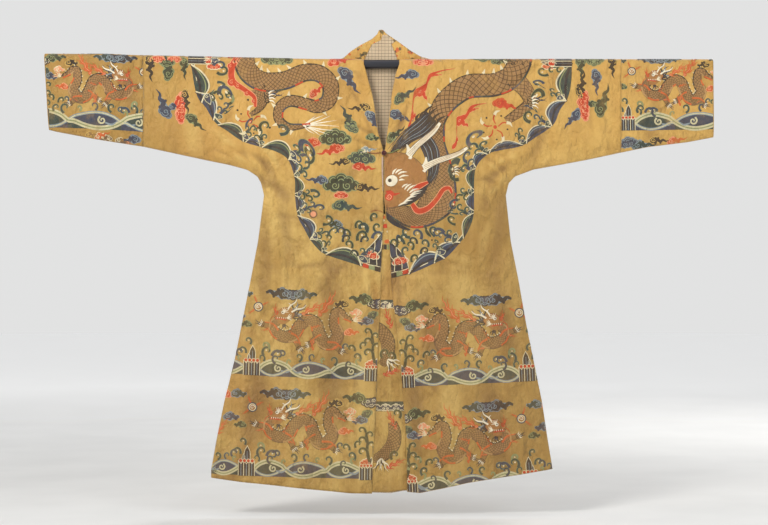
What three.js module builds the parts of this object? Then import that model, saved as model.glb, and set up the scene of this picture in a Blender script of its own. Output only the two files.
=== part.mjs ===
// A Tibetan chuba (long-sleeved robe) of yellow silk brocade, hung flat on a plain round rod.
// Millimetres, +Z up. The front faces -Y. The origin is the middle of the rod's axis.
// "left" and "right" are those of someone who looks at the front: left is -X.
import * as THREE from 'three';

// Cloth and seams
const CLOTH = 1.5; // brocade with its lining
const LINING = 1;
const SEAM_GAP = 0.3;
const EDGE_GAP = 0.5; // front to back along the side and underarm seams

// The rod, and the ellipse in which the cloth's middle surface passes over it
const ROD_RADIUS = 13;
const ROD_SIDES = 28;
const ROD_ENDS = { left: -932, right: 926 };
const FACET_ROOM = 0.15; // because the fold's facets cut its corners
const FOLD_RISE = ROD_RADIUS + SEAM_GAP + FACET_ROOM + CLOTH / 2;
const HALF_DEPTH = ROD_RADIUS + 2 * SEAM_GAP + LINING + CLOTH / 2 + 0.1;
const SEAM_DEPTH = (CLOTH + EDGE_GAP) / 2;
const SEAM_REACH = { body: 95, sleeve: 70 }; // how far in from a seam the two layers part

// Outline of the laid-out garment
const SLEEVE_SEAM = { left: -675, right: 687 };
const CUFF = {
  left: { top: -957, pull: 12 },
  right: { top: 950, pull: 2 },
};
const ARMPIT = { left: -331, right: 359, z: -374 };
const UNDERARM = {
  left: [
    { x: -957, z: -184 },
    { x: -925, z: -192 },
    { x: -809, z: -214 },
    { x: -675, z: -235 },
    { x: -536, z: -265 },
    { x: -499, z: -273 },
    { x: -430, z: -287 },
    { x: -379, z: -301 },
    { x: -350, z: -320 },
    { x: -339, z: -340 },
    { x: -331, z: -374 },
  ],
  right: [
    { x: 359, z: -374 },
    { x: 367, z: -340 },
    { x: 385, z: -320 },
    { x: 439, z: -300 },
    { x: 524, z: -285 },
    { x: 593, z: -272 },
    { x: 687, z: -252 },
    { x: 764, z: -236 },
    { x: 878, z: -222 },
    { x: 952, z: -208 },
  ],
};
const SIDE_SEAM = [
  { z: -374, left: -331, right: 359 },
  { z: -502, left: -348, right: 373 },
  { z: -616, left: -370, right: 396 },
  { z: -730, left: -393, right: 416 },
  { z: -844, left: -416, right: 439 },
  { z: -958, left: -444, right: 462 },
  { z: -1072, left: -467, right: 479 },
  { z: -1157, left: -482, right: 493 },
];
const HEM = [
  { x: -484, z: -1180 },
  { x: -399, z: -1191 },
  { x: -228, z: -1209 },
  { x: -91, z: -1223 },
  { x: 30, z: -1226 },
  { x: 71, z: -1219 },
  { x: 114, z: -1223 },
  { x: 251, z: -1194 },
  { x: 388, z: -1172 },
  { x: 495, z: -1155 },
];
const FOLD_LINE = [ // how far the shoulder fold stands above the rod's own line
  { x: -960, up: 16 },
  { x: -780, up: 15 },
  { x: -670, up: 11 },
  { x: -400, up: 5 },
  { x: -190, up: 1 },
  { x: -60, up: 0 },
];

// Front edges, from the neck point down the V to the hem
const NECK = { left: -46, right: 51 };
const FRONT_EDGE = [
  { z: 0, left: -46, right: 55 },
  { z: -35, left: -36, right: 43 },
  { z: -86, left: -22, right: 33.5 },
  { z: -131, left: -14.5, right: 29 },
  { z: -197, left: -5, right: 20.5 },
  { z: -231, left: 5, right: 16.5 },
  { z: -251, left: 9.7, right: 12.7 },
  { z: -388, left: 9.7, right: 12.7 },
  { z: -440, left: 9, right: 17.5 },
  { z: -502, left: 7.5, right: 25.5 },
  { z: -644, left: 2.5, right: 33.5 },
  { z: -858, left: -7, right: 58 },
  { z: -958, left: -10, right: 66 },
  { z: -1072, left: -17, right: 74 },
  { z: -1226, left: -23, right: 77 },
];

// Soft folds of the hanging skirt: where each starts, how it leans, and its depth at the hem
const FOLDS = {
  front: [
    { x: -360, lean: -46, top: -560, width: 74, depth: 5 },
    { x: -190, lean: -24, top: -760, width: 92, depth: 7 },
    { x: -66, lean: -6, top: -900, width: 60, depth: 4 },
    { x: 172, lean: 22, top: -700, width: 96, depth: 7 },
    { x: 330, lean: 60, top: -620, width: 80, depth: 6 },
  ],
  back: [
    { x: -300, lean: -40, top: -600, width: 86, depth: 6 },
    { x: -120, lean: -10, top: -820, width: 90, depth: 8 },
    { x: 95, lean: 12, top: -760, width: 84, depth: 6 },
    { x: 290, lean: 44, top: -640, width: 92, depth: 8 },
  ],
};

// The underlap gore, behind both front edges
const GORE_TOP = -428;
const GORE_LAP = [
  { z: -428, left: 7, right: 12 },
  { z: -644, left: 8, right: 40 },
  { z: -958, left: 8, right: 84 },
  { z: -1226, left: 8, right: 118 },
];
const GORE_SHORT = 5; // it ends this much above the hem
const GORE_BEHIND = 0.95; // clear space between it and the fronts

// The standing collar at the back of the neck
const COLLAR_TOP = [
  { x: -120, z: 15 },
  { x: -105, z: 20 },
  { x: -83, z: 40 },
  { x: -57, z: 57 },
  { x: -23, z: 75 },
  { x: -7, z: 90 },
  { x: -3, z: 101 },
  { x: 8, z: 102 },
  { x: 17, z: 91 },
  { x: 54, z: 66 },
  { x: 88, z: 41 },
  { x: 117, z: 24 },
  { x: 146, z: 16 },
];
const COLLAR_SHOULDER_BASE = 7.6; // on the shoulder fold; between the neck points it goes down to the back
const COLLAR_LEAN = 0.05; // back, for each millimetre up
const FACING_BASE = 9.4;
const FACING_SHORT = 1.5; // it ends this much below the collar's edge
const COLLAR_MIDDLE = 2.5;
const FACING_EDGE = [ // inner edges of the turned-in silk, where the lining begins
  { z: 0, left: -45, right: 50 },
  { z: 17, left: -45, right: 50 },
  { z: 60, left: -23, right: 33 },
];
const LINING_DEPTH = -560;
const LINING_WIDTH = [
  { z: 0, left: -45, right: 50 },
  { z: -6, left: -70, right: 76 },
  { z: -260, left: -70, right: 80 },
  { z: -560, left: -60, right: 100 },
];

// Closures
const BUTTON = { x: 11.2, z: -254, radius: 7.5 };
const CORD_RADIUS = 1.6;
const THREAD_RADIUS = 0.9;
const CORD_SIDES = 8;

// Steps of the grids: shares of each stretch, closer together where the cloth bends
const ARC_STEPS = 10;
const SLEEVE_FALL = [0, 0.1, 0.23, 0.38, 0.527, 0.618, 0.672, 0.8, 0.9, 0.97, 1];
const SKIRT_FALL = [0, 0.09, 0.18, 0.27, 0.36, 0.45, 0.54, 0.63, 0.72, 0.81, 0.9, 1];
const BODY_ACROSS = [0, 0.03, 0.09, 0.18, 0.3, 0.44, 0.58, 0.72, 0.86, 1];
const SLEEVE_ACROSS = [0, 0.2, 0.4, 0.58, 0.74, 0.86, 0.94, 0.98, 1];
const CUFF_ACROSS = [0, 0.35, 0.7, 1];

const LOOKS = {
  brocade: { color: 0xbc9a4e, roughness: 0.62, metalness: 0 },
  facing: { color: 0xb28f47, roughness: 0.66, metalness: 0 },
  lining: { color: 0xb09a88, roughness: 0.85, metalness: 0 },
  rod: { color: 0x15161f, roughness: 0.4, metalness: 0.1 },
  button: { color: 0x5a221c, roughness: 0.55, metalness: 0 },
  loop: { color: 0x9a5a2c, roughness: 0.75, metalness: 0 },
  stem: { color: 0x8f9a48, roughness: 0.75, metalness: 0 },
};

const { lerp, clamp } = THREE.MathUtils;

/** The direction along X from the middle to a side. */
function outwardOf(side) {
  return side === 'left' ? -1 : 1;
}

/** Reads a table of rows at one key, in straight lines between the rows. */
function read(table, key, at, column) {
  const rows = [...table].sort((a, b) => a[key] - b[key]);
  if (at <= rows[0][key]) return rows[0][column];
  for (let i = 1; i < rows.length; i++) {
    const [low, high] = [rows[i - 1], rows[i]];
    if (at <= high[key]) {
      return lerp(low[column], high[column], (at - low[key]) / (high[key] - low[key]));
    }
  }
  return rows.at(-1)[column];
}

/** How far the middle surface lies from the robe's middle plane, this far in from a seam. */
function partedBy(inset, reach) {
  const share = clamp(inset / reach, 0, 1);
  return lerp(SEAM_DEPTH, HALF_DEPTH, Math.sqrt(1 - (1 - share) ** 2));
}

/** What the skirt's soft folds add to that at a place. */
function foldsAt(x, z, face) {
  let out = 0;
  for (const fold of FOLDS[face]) {
    const fallen = clamp((fold.top - z) / (fold.top - ARMPIT.z * 3.2), 0, 1);
    const off = (x - fold.x - fold.lean * fallen) / fold.width;
    out += fold.depth * fallen * Math.exp(-3 * off * off);
  }
  return out;
}

/** The middle surface's distance from the middle plane on the body, at x and z. */
function bodyDepth(side, x, z, face) {
  const seamX = z < ARMPIT.z ? read(SIDE_SEAM, 'z', z, side) : ARMPIT[side];
  const inset = Math.hypot(x - seamX, Math.max(0, z - ARMPIT.z));
  const depth = partedBy(inset, SEAM_REACH.body);
  return depth + foldsAt(x, z, face) * clamp(inset / SEAM_REACH.body, 0, 1);
}

/** The middle surface's distance from the middle plane on a sleeve. */
function sleeveDepth(side, x, z) {
  const inset = z - read(UNDERARM[side], 'x', x, 'z');
  const nearBody = clamp(1 - Math.abs(x - ARMPIT[side]) / SEAM_REACH.body, 0, 1);
  return partedBy(inset, lerp(SEAM_REACH.sleeve, SEAM_REACH.body, nearBody));
}

/** Rows of a piece that passes over the rod, from the back's lower edge to the front's. */
function rowsOverRod(withSkirt) {
  const falls = SLEEVE_FALL.slice(1).map((share) => ({ part: 'upper', share }));
  if (withSkirt) falls.push(...SKIRT_FALL.slice(1).map((share) => ({ part: 'skirt', share })));
  const arc = [];
  for (let k = 0; k <= ARC_STEPS; k++) {
    arc.push({ part: 'arc', angle: Math.PI * (k / ARC_STEPS - 0.5) });
  }
  const back = falls.map((row) => ({ ...row, face: 'back' })).reverse();
  return [...back, ...arc, ...falls.map((row) => ({ ...row, face: 'front' }))];
}

/** A point of the arc over the rod. The angle is from straight up, positive to the front. */
function arcPoint(x, angle) {
  const up = read(FOLD_LINE, 'x', x, 'up');
  const y = -HALF_DEPTH * Math.sin(angle);
  return new THREE.Vector3(x, y, up + FOLD_RISE * Math.cos(angle));
}

/** A point below the arc, on the face that the row names. */
function hangingPoint(x, z, depth, face) {
  return new THREE.Vector3(x, face === 'front' ? -depth : depth, z);
}

function sleevePoint(side, x, row) {
  if (row.part === 'arc') return arcPoint(x, row.angle);
  const top = read(FOLD_LINE, 'x', x, 'up');
  const z = lerp(top, read(UNDERARM[side], 'x', x, 'z'), row.share);
  return hangingPoint(x, z, sleeveDepth(side, x, z), row.face);
}

/** The x of a body piece's middle edge: the front edge, or the neck's and the back's seam. */
function middleEdge(side, z, face) {
  if (face === 'front') return read(FRONT_EDGE, 'z', z, side);
  return NECK[side];
}

function bodyPoint(side, across, row) {
  if (row.part === 'arc') {
    const x = lerp(ARMPIT[side], middleEdge(side, 0, row.angle > 0 ? 'front' : 'back'), across);
    return arcPoint(x, row.angle);
  }
  if (row.part === 'upper') {
    const level = ARMPIT.z * row.share;
    const x = lerp(ARMPIT[side], middleEdge(side, level, row.face), across);
    const z = lerp(read(FOLD_LINE, 'x', x, 'up'), ARMPIT.z, row.share);
    return hangingPoint(x, z, bodyDepth(side, x, z, row.face), row.face);
  }
  const seamZ = lerp(ARMPIT.z, read(HEM, 'x', side === 'left' ? -484 : 495, 'z'), row.share);
  const edgeZ = lerp(ARMPIT.z, read(HEM, 'x', 0, 'z'), row.share);
  const x = lerp(read(SIDE_SEAM, 'z', seamZ, side), middleEdge(side, edgeZ, row.face), across);
  const z = lerp(ARMPIT.z, read(HEM, 'x', x, 'z'), row.share);
  return hangingPoint(x, z, bodyDepth(side, x, z, row.face), row.face);
}

/** The same point, carried on from the neck point's line towards the seam down the back. */
function backPoint(side, share, row) {
  const edge = bodyPoint(side, 1, row);
  const x = lerp(edge.x, (outwardOf(side) * SEAM_GAP) / 2, share);
  let { z } = edge;
  if (row.part === 'skirt') z = lerp(ARMPIT.z, read(HEM, 'x', x, 'z'), row.share);
  return hangingPoint(x, z, bodyDepth(side, x, z, 'back'), 'back');
}

/**
 * A wall of cloth on a grid of points. point(i, j) is on its middle surface, and has(i, j) says
 * whether the cell between rows i, i + 1 and columns j, j + 1 is cloth. Every open edge is closed.
 */
function clothWall(rowCount, columnCount, point, thickness, has = () => true) {
  const filled = (i, j) => i >= 0 && j >= 0 && i < rowCount && j < columnCount && has(i, j);
  const used = (i, j) => filled(i, j) || filled(i - 1, j) || filled(i, j - 1) || filled(i - 1, j - 1);
  const points = [];
  for (let i = 0; i <= rowCount; i++) {
    points.push([]);
    for (let j = 0; j <= columnCount; j++) points[i].push(used(i, j) ? point(i, j) : null);
  }
  const normals = points.map((row) => row.map((p) => p && new THREE.Vector3()));
  const [a, b] = [new THREE.Vector3(), new THREE.Vector3()];
  const cells = [];
  for (let i = 0; i < rowCount; i++) {
    for (let j = 0; j < columnCount; j++) {
      if (!filled(i, j)) continue;
      cells.push([i, j]);
      a.subVectors(points[i + 1][j + 1], points[i][j]);
      b.subVectors(points[i + 1][j], points[i][j + 1]);
      a.cross(b).normalize();
      for (const [di, dj] of [[0, 0], [0, 1], [1, 0], [1, 1]]) normals[i + di][j + dj].add(a);
    }
  }
  const vertices = [];
  const index = new Map();
  const vertex = (i, j, layer) => {
    const key = `${i},${j},${layer}`;
    if (!index.has(key)) {
      const offset = normals[i][j].clone().normalize().multiplyScalar(layer * thickness / 2);
      index.set(key, vertices.length / 3);
      vertices.push(...points[i][j].clone().add(offset).toArray());
    }
    return index.get(key);
  };
  const triangles = [];
  const quad = (p, q, r, s) => triangles.push(p, q, r, p, r, s);
  for (const [i, j] of cells) {
    const corners = [[i, j], [i + 1, j], [i + 1, j + 1], [i, j + 1]];
    const outer = corners.map(([u, v]) => vertex(u, v, -1));
    const inner = corners.map(([u, v]) => vertex(u, v, 1));
    quad(...outer);
    quad(...[...inner].reverse());
    const neighbours = [[i, j - 1], [i + 1, j], [i, j + 1], [i - 1, j]];
    neighbours.forEach(([u, v], k) => {
      if (filled(u, v)) return;
      const next = (k + 1) % 4;
      quad(outer[next], outer[k], inner[k], inner[next]);
    });
  }
  const geometry = new THREE.BufferGeometry();
  geometry.setAttribute('position', new THREE.Float32BufferAttribute(vertices, 3));
  geometry.setIndex(triangles);
  geometry.computeVertexNormals();
  return geometry;
}

/** Turns a closed geometry inside out where its faces point in, so that its volume is positive. */
function facingOut(geometry) {
  const position = geometry.getAttribute('position');
  const index = geometry.getIndex();
  const corner = [0, 1, 2].map(() => new THREE.Vector3());
  let volume = 0;
  for (let k = 0; k < index.count; k += 3) {
    corner.forEach((v, n) => v.fromBufferAttribute(position, index.getX(k + n)));
    volume += corner[0].dot(corner[1].clone().cross(corner[2]));
  }
  if (volume >= 0) return geometry;
  for (let k = 0; k < index.count; k += 3) {
    const first = index.getX(k);
    index.setX(k, index.getX(k + 2));
    index.setX(k + 2, first);
  }
  geometry.computeVertexNormals();
  return geometry;
}

/** Half of the robe: sleeve, front and back in one length of cloth that is folded at the shoulder. */
function bodyHalf(side) {
  const rows = rowsOverRod(true);
  const sleeveCells = SLEEVE_ACROSS.length - 1;
  const bodyCells = BODY_ACROSS.length - 1;
  const backCells = 2;
  const armpitRow = SKIRT_FALL.length - 1;
  const backEnd = rows.findIndex((row) => row.part === 'arc');
  const point = (i, j) => {
    const row = rows[i];
    if (j < sleeveCells) {
      return sleevePoint(side, lerp(SLEEVE_SEAM[side], ARMPIT[side], SLEEVE_ACROSS[j]), row);
    }
    if (j <= sleeveCells + bodyCells) return bodyPoint(side, BODY_ACROSS[j - sleeveCells], row);
    return backPoint(side, (j - sleeveCells - bodyCells) / backCells, row);
  };
  const has = (i, j) => {
    if (j < sleeveCells) return i >= armpitRow && i < rows.length - 1 - armpitRow;
    if (j >= sleeveCells + bodyCells) return i < backEnd;
    return true;
  };
  const columns = sleeveCells + bodyCells + backCells;
  return facingOut(clothWall(rows.length - 1, columns, point, CLOTH, has));
}

/** The end of a sleeve, a tube of its own piece of cloth that is seamed along the underarm. */
function sleeveEnd(side) {
  const rows = rowsOverRod(false);
  const start = SLEEVE_SEAM[side] + outwardOf(side) * SEAM_GAP;
  const point = (i, j) => {
    const row = rows[i];
    const { top, pull } = CUFF[side];
    const end = top + pull * (row.part === 'arc' ? 0 : row.share);
    return sleevePoint(side, lerp(start, end, CUFF_ACROSS[j]), row);
  };
  return facingOut(clothWall(rows.length - 1, CUFF_ACROSS.length - 1, point, CLOTH));
}

/** The gore of pieced scraps that fills the opening, in under both front edges. */
function gore() {
  const rows = 14;
  const columns = 4;
  const inward = CLOTH + GORE_BEHIND;
  const point = (i, j) => {
    const share = i / rows;
    const level = lerp(GORE_TOP, read(HEM, 'x', 0, 'z'), share);
    const left = read(FRONT_EDGE, 'z', level, 'left') - read(GORE_LAP, 'z', level, 'left');
    const right = read(FRONT_EDGE, 'z', level, 'right') + read(GORE_LAP, 'z', level, 'right');
    const x = lerp(left, right, j / columns);
    const z = lerp(GORE_TOP, read(HEM, 'x', x, 'z') + GORE_SHORT, share);
    const side = x < 0 ? 'left' : 'right';
    return hangingPoint(x, z, bodyDepth(side, x, z, 'front') - inward, 'front');
  };
  return facingOut(clothWall(rows, columns, point, CLOTH));
}

/** How far back the standing collar leans at a height. */
function leanAt(z) {
  return COLLAR_LEAN * Math.max(0, z);
}

/** The collar: a blunt triangle that stands on the shoulder folds and on the back's top edge. */
function collar() {
  const inner = { left: NECK.left + SEAM_GAP, right: NECK.right - SEAM_GAP };
  const beyond = 0.01;
  const xs = [...COLLAR_TOP.map((row) => row.x), inner.left, inner.right].sort((a, b) => a - b);
  const falls = [0, 0.33, 0.67, 1];
  const point = (i, j) => {
    const x = xs[j];
    const top = read(COLLAR_TOP, 'x', x, 'z');
    const z = i === 0 ? SEAM_GAP / 2 : lerp(COLLAR_SHOULDER_BASE, top, falls[i - 1]);
    return new THREE.Vector3(x, HALF_DEPTH + leanAt(z), z);
  };
  const has = (i, j) => {
    if (i > 0) return true;
    return xs[j] > inner.left - beyond && xs[j + 1] < inner.right + beyond;
  };
  return facingOut(clothWall(falls.length, xs.length - 1, point, CLOTH, has));
}

/** The depth at which lining and facings lie, against the inside of the back and the collar. */
function liningDepth(z) {
  return HALF_DEPTH - CLOTH / 2 - SEAM_GAP - LINING / 2 + leanAt(z);
}

/** The lower edge of a facing: above the shoulder fold, then the slanting edge of the lining. */
function facingBase(side, x) {
  const [low, high] = [FACING_EDGE[1], FACING_EDGE.at(-1)];
  const share = clamp((x - low[side]) / (high[side] - low[side]), 0, 1);
  return outwardOf(side) * (x - low[side]) > 1 ? FACING_BASE : lerp(low.z, high.z, share);
}

/** The silk turned in along one slope of the collar. The two meet above the lining. */
function facing(side) {
  const outward = outwardOf(side);
  const start = COLLAR_MIDDLE + (outward * SEAM_GAP) / 2;
  const slope = COLLAR_TOP.map((row) => row.x).filter((x) => outward * (x - start) > 1);
  const corners = FACING_EDGE.slice(1).map((row) => row[side]);
  const along = [start, ...slope, ...corners].sort((p, q) => outward * (p - q)).slice(0, -1);
  const xs = along.filter((x, i) => i === 0 || Math.abs(x - along[i - 1]) > 1);
  const columns = 2;
  const point = (i, j) => {
    const top = read(COLLAR_TOP, 'x', xs[i], 'z') - FACING_SHORT;
    const z = lerp(facingBase(side, xs[i]), top, j / columns);
    return new THREE.Vector3(xs[i], liningDepth(z), z);
  };
  return facingOut(clothWall(xs.length - 1, columns, point, LINING));
}

/** The lining where the open neck shows it: inside the collar, and down the inside of the back. */
function neckLining() {
  const levels = [59, 36, 17, 8, 0, -6, -60, -130, -200, -280, -380, LINING_DEPTH];
  const columns = 4;
  const point = (i, j) => {
    const z = levels[i];
    const table = z > LINING_WIDTH[0].z ? FACING_EDGE : LINING_WIDTH;
    const inset = z > LINING_WIDTH[0].z ? 1.2 : 0;
    const left = read(table, 'z', z, 'left') + inset;
    const right = read(table, 'z', z, 'right') - inset;
    return new THREE.Vector3(lerp(left, right, j / columns), liningDepth(z), z);
  };
  return facingOut(clothWall(levels.length - 1, columns, point, LINING));
}

/** A point on the outside of a front, moved out by this much. */
function onFront(x, z, out) {
  const side = x < (BUTTON.x + 0.1) ? 'left' : 'right';
  return new THREE.Vector3(x, -bodyDepth(side, x, z, 'front') - CLOTH / 2 - out, z);
}

/** A cord that lies on the fronts, through places given as x, z and its distance out. */
function cordOnFront(places, radius) {
  const lift = radius + SEAM_GAP;
  const path = new THREE.CatmullRomCurve3(places.map(({ x, z, out }) => onFront(x, z, out + lift)));
  const section = new THREE.Shape();
  for (let k = 0; k < CORD_SIDES; k++) {
    const angle = (2 * Math.PI * k) / CORD_SIDES;
    const corner = [radius * Math.cos(angle), radius * Math.sin(angle)];
    if (k === 0) section.moveTo(...corner);
    else section.lineTo(...corner);
  }
  section.closePath();
  const steps = places.length * 3;
  return new THREE.ExtrudeGeometry(section, { steps, extrudePath: path, bevelEnabled: false });
}

const robe = new THREE.Group();

function add(name, geometry, look) {
  const mesh = new THREE.Mesh(geometry, new THREE.MeshStandardMaterial(LOOKS[look]));
  mesh.name = name;
  robe.add(mesh);
  return mesh;
}

add('body_left', bodyHalf('left'), 'brocade');
add('body_right', bodyHalf('right'), 'brocade');
add('sleeve_end_left', sleeveEnd('left'), 'brocade');
add('sleeve_end_right', sleeveEnd('right'), 'brocade');
add('front_gore', gore(), 'brocade');
add('collar', collar(), 'brocade');
add('collar_facing_left', facing('left'), 'facing');
add('collar_facing_right', facing('right'), 'facing');
add('neck_lining', neckLining(), 'lining');

const button = add('button_knot', new THREE.SphereGeometry(BUTTON.radius, 14, 10), 'button');
button.position.copy(onFront(BUTTON.x, BUTTON.z, BUTTON.radius + SEAM_GAP));

const loopPlaces = [
  { x: -37, z: -252, out: 0 },
  { x: -24, z: -254, out: 0 },
  { x: -10, z: -254.5, out: 0 },
  { x: 1, z: -253, out: 1.5 },
];
add('button_loop', cordOnFront(loopPlaces, CORD_RADIUS), 'loop');
const stemPlaces = [
  { x: 21.5, z: -254, out: 1.5 },
  { x: 32, z: -253, out: 0 },
  { x: 43, z: -248, out: 0 },
  { x: 54, z: -243, out: 0 },
];
add('button_stem', cordOnFront(stemPlaces, CORD_RADIUS), 'stem');
const threadPlaces = [
  { x: -28, z: -421, out: 0 },
  { x: -12, z: -418, out: 0 },
  { x: 2, z: -420, out: 0 },
  { x: 8, z: -423, out: 0 },
];
add('second_loop_threads', cordOnFront(threadPlaces, THREAD_RADIUS), 'loop');

const rodLength = ROD_ENDS.right - ROD_ENDS.left;
const rodShape = new THREE.CylinderGeometry(ROD_RADIUS, ROD_RADIUS, rodLength, ROD_SIDES);
const rod = add('rod', rodShape, 'rod');
rod.rotation.z = Math.PI / 2;
rod.position.x = (ROD_ENDS.left + ROD_ENDS.right) / 2;

export default robe;
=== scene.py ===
"""A yellow silk chuba with woven dragons, hung flat on a rod: the looks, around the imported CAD.

Tables and the pattern are in millimetres and become metres as vertices are made. The cloth is
worked out flat, as x across and h up: h is the height on the hanging front, and it runs on over
the shoulder fold at h = FOLD_H and down the back, where it keeps growing.
"""
import math

import bpy
import numpy as np
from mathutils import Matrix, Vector


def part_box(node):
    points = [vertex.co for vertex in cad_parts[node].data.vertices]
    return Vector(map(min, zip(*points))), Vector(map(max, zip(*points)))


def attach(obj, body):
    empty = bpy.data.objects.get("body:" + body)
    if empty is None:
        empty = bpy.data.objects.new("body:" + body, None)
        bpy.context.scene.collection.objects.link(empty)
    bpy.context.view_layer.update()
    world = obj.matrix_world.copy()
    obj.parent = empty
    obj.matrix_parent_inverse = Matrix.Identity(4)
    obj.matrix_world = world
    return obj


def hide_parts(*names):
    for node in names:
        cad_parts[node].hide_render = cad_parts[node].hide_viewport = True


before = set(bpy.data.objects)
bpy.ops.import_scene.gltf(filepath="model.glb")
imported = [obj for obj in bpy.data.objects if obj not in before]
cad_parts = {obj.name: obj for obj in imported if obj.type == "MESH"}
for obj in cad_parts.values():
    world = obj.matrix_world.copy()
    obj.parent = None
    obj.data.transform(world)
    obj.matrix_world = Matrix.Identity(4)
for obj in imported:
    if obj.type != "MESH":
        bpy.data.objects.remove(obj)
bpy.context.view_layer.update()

MM = 0.001
LEFT, RIGHT = "left", "right"
OUTWARD = {LEFT: -1, RIGHT: 1}  # which way x runs towards a half's cuff

# ---------------------------------------------------------------------------------------------
# The robe's sizes, as the CAD model has them
CLOTH, SHELL, LINING, GAP = 1.5, 1.1, 1.0, 0.3  # thicknesses, and the space at a seam
ROD_RADIUS = 13
HALF_DEPTH = ROD_RADIUS + 2 * GAP + LINING + CLOTH / 2 + 0.1  # from the middle plane to the cloth
FOLD_RISE = ROD_RADIUS + GAP + 0.15 + CLOTH / 2  # from the rod's axis up to the fold
SEAM_DEPTH = 1.0  # half of the space between front and back along a seam
REACH_BODY, REACH_SLEEVE = 95, 70  # how far in from a seam the two part fully
FOLD_H = math.pi / 4 * (HALF_DEPTH + FOLD_RISE)  # the cloth's length over a quarter of the fold

SLEEVE_SEAM = {LEFT: -675, RIGHT: 687}
ARMPIT = {LEFT: -331, RIGHT: 359}
ARMPIT_Z = -374
CUFF_TOP = {LEFT: -957, RIGHT: 950}
CUFF_PULL = {LEFT: 12, RIGHT: 2}
UNDERARM = {  # x, z
    LEFT: [(-957, -184), (-925, -192), (-809, -214), (-675, -235), (-536, -265), (-499, -273),
           (-430, -287), (-379, -301), (-350, -320), (-339, -340), (-331, -374)],
    RIGHT: [(359, -374), (367, -340), (385, -320), (439, -300), (524, -285), (593, -272),
            (687, -252), (764, -236), (878, -222), (952, -208)],
}
SIDE_SEAM = {  # z, x
    LEFT: [(-1157, -482), (-1072, -467), (-958, -444), (-844, -416), (-730, -393),
           (-616, -370), (-502, -348), (-374, -331)],
    RIGHT: [(-1157, 493), (-1072, 479), (-958, 462), (-844, 439), (-730, 416), (-616, 396),
            (-502, 373), (-374, 359)],
}
HEM_END = {LEFT: -484, RIGHT: 495}
HEM = [(-484, -1180), (-399, -1191), (-228, -1209), (-91, -1223), (30, -1226), (71, -1219),
       (114, -1223), (251, -1194), (388, -1172), (495, -1155)]
FOLD_LINE = [(-960, 16), (-780, 15), (-670, 11), (-400, 5), (-190, 1), (-60, 0)]
NECK = {LEFT: -46, RIGHT: 51}
FRONT_EDGE = {  # z, x
    LEFT: [(-1226, -23), (-1072, -17), (-958, -10), (-858, -7), (-644, 2.5), (-502, 7.5),
           (-440, 9.6), (-388, 10.4), (-251, 10.4), (-231, 5), (-197, -5), (-131, -14.5),
           (-86, -22), (-35, -36), (0, -46)],
    RIGHT: [(-1226, 77), (-1072, 74), (-958, 66), (-858, 58), (-644, 33.5), (-502, 25.5),
            (-440, 17), (-388, 12), (-251, 12), (-231, 16.5), (-197, 20.5), (-131, 29),
            (-86, 33.5), (-35, 43), (0, 55)],
}
FOLDS_FALL = 3.2 * ARMPIT_Z  # where a fold has its full depth
FOLDS = {  # x, lean, top, width, depth at the hem
    "front": [(-360, -46, -560, 74, 5), (-190, -24, -760, 92, 7), (-66, -6, -900, 60, 4),
              (172, 22, -700, 96, 7), (330, 60, -620, 80, 6)],
    "back": [(-300, -40, -600, 86, 6), (-120, -10, -820, 90, 8), (95, 12, -760, 84, 6),
             (290, 44, -640, 92, 8)],
}
GORE_TOP, GORE_SHORT, GORE_BEHIND = -428, 5, 0.95
GORE_LAP = {
    LEFT: [(-1226, 8), (-958, 8), (-644, 8), (-428, 7)],
    RIGHT: [(-1226, 118), (-958, 84), (-644, 40), (-428, 12)],
}
COLLAR_TOP = [(-120, 15), (-105, 20), (-83, 40), (-57, 57), (-23, 75), (-7, 90), (-3, 101),
              (8, 102), (17, 91), (54, 66), (88, 41), (117, 24), (146, 16)]
COLLAR_BASE, COLLAR_LEAN, COLLAR_MIDDLE = 7.6, 0.05, 2.5
FACING_BASE, FACING_SHORT = 9.4, 1.5
FACING_END = {LEFT: -105, RIGHT: 117}
FACING_EDGE = {LEFT: [(17, -45), (60, -23)], RIGHT: [(17, 50), (60, 33)]}
LINING_WIDTH = {
    LEFT: [(-560, -60), (-260, -70), (-6, -70), (0, -45), (17, -45), (60, -23), (70, 0), (88, 7)],
    RIGHT: [(-560, 100), (-260, 80), (-6, 76), (0, 50), (17, 50), (60, 33), (64, 42), (70, 40),
            (80, 29), (88, 19)],
}

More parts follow.
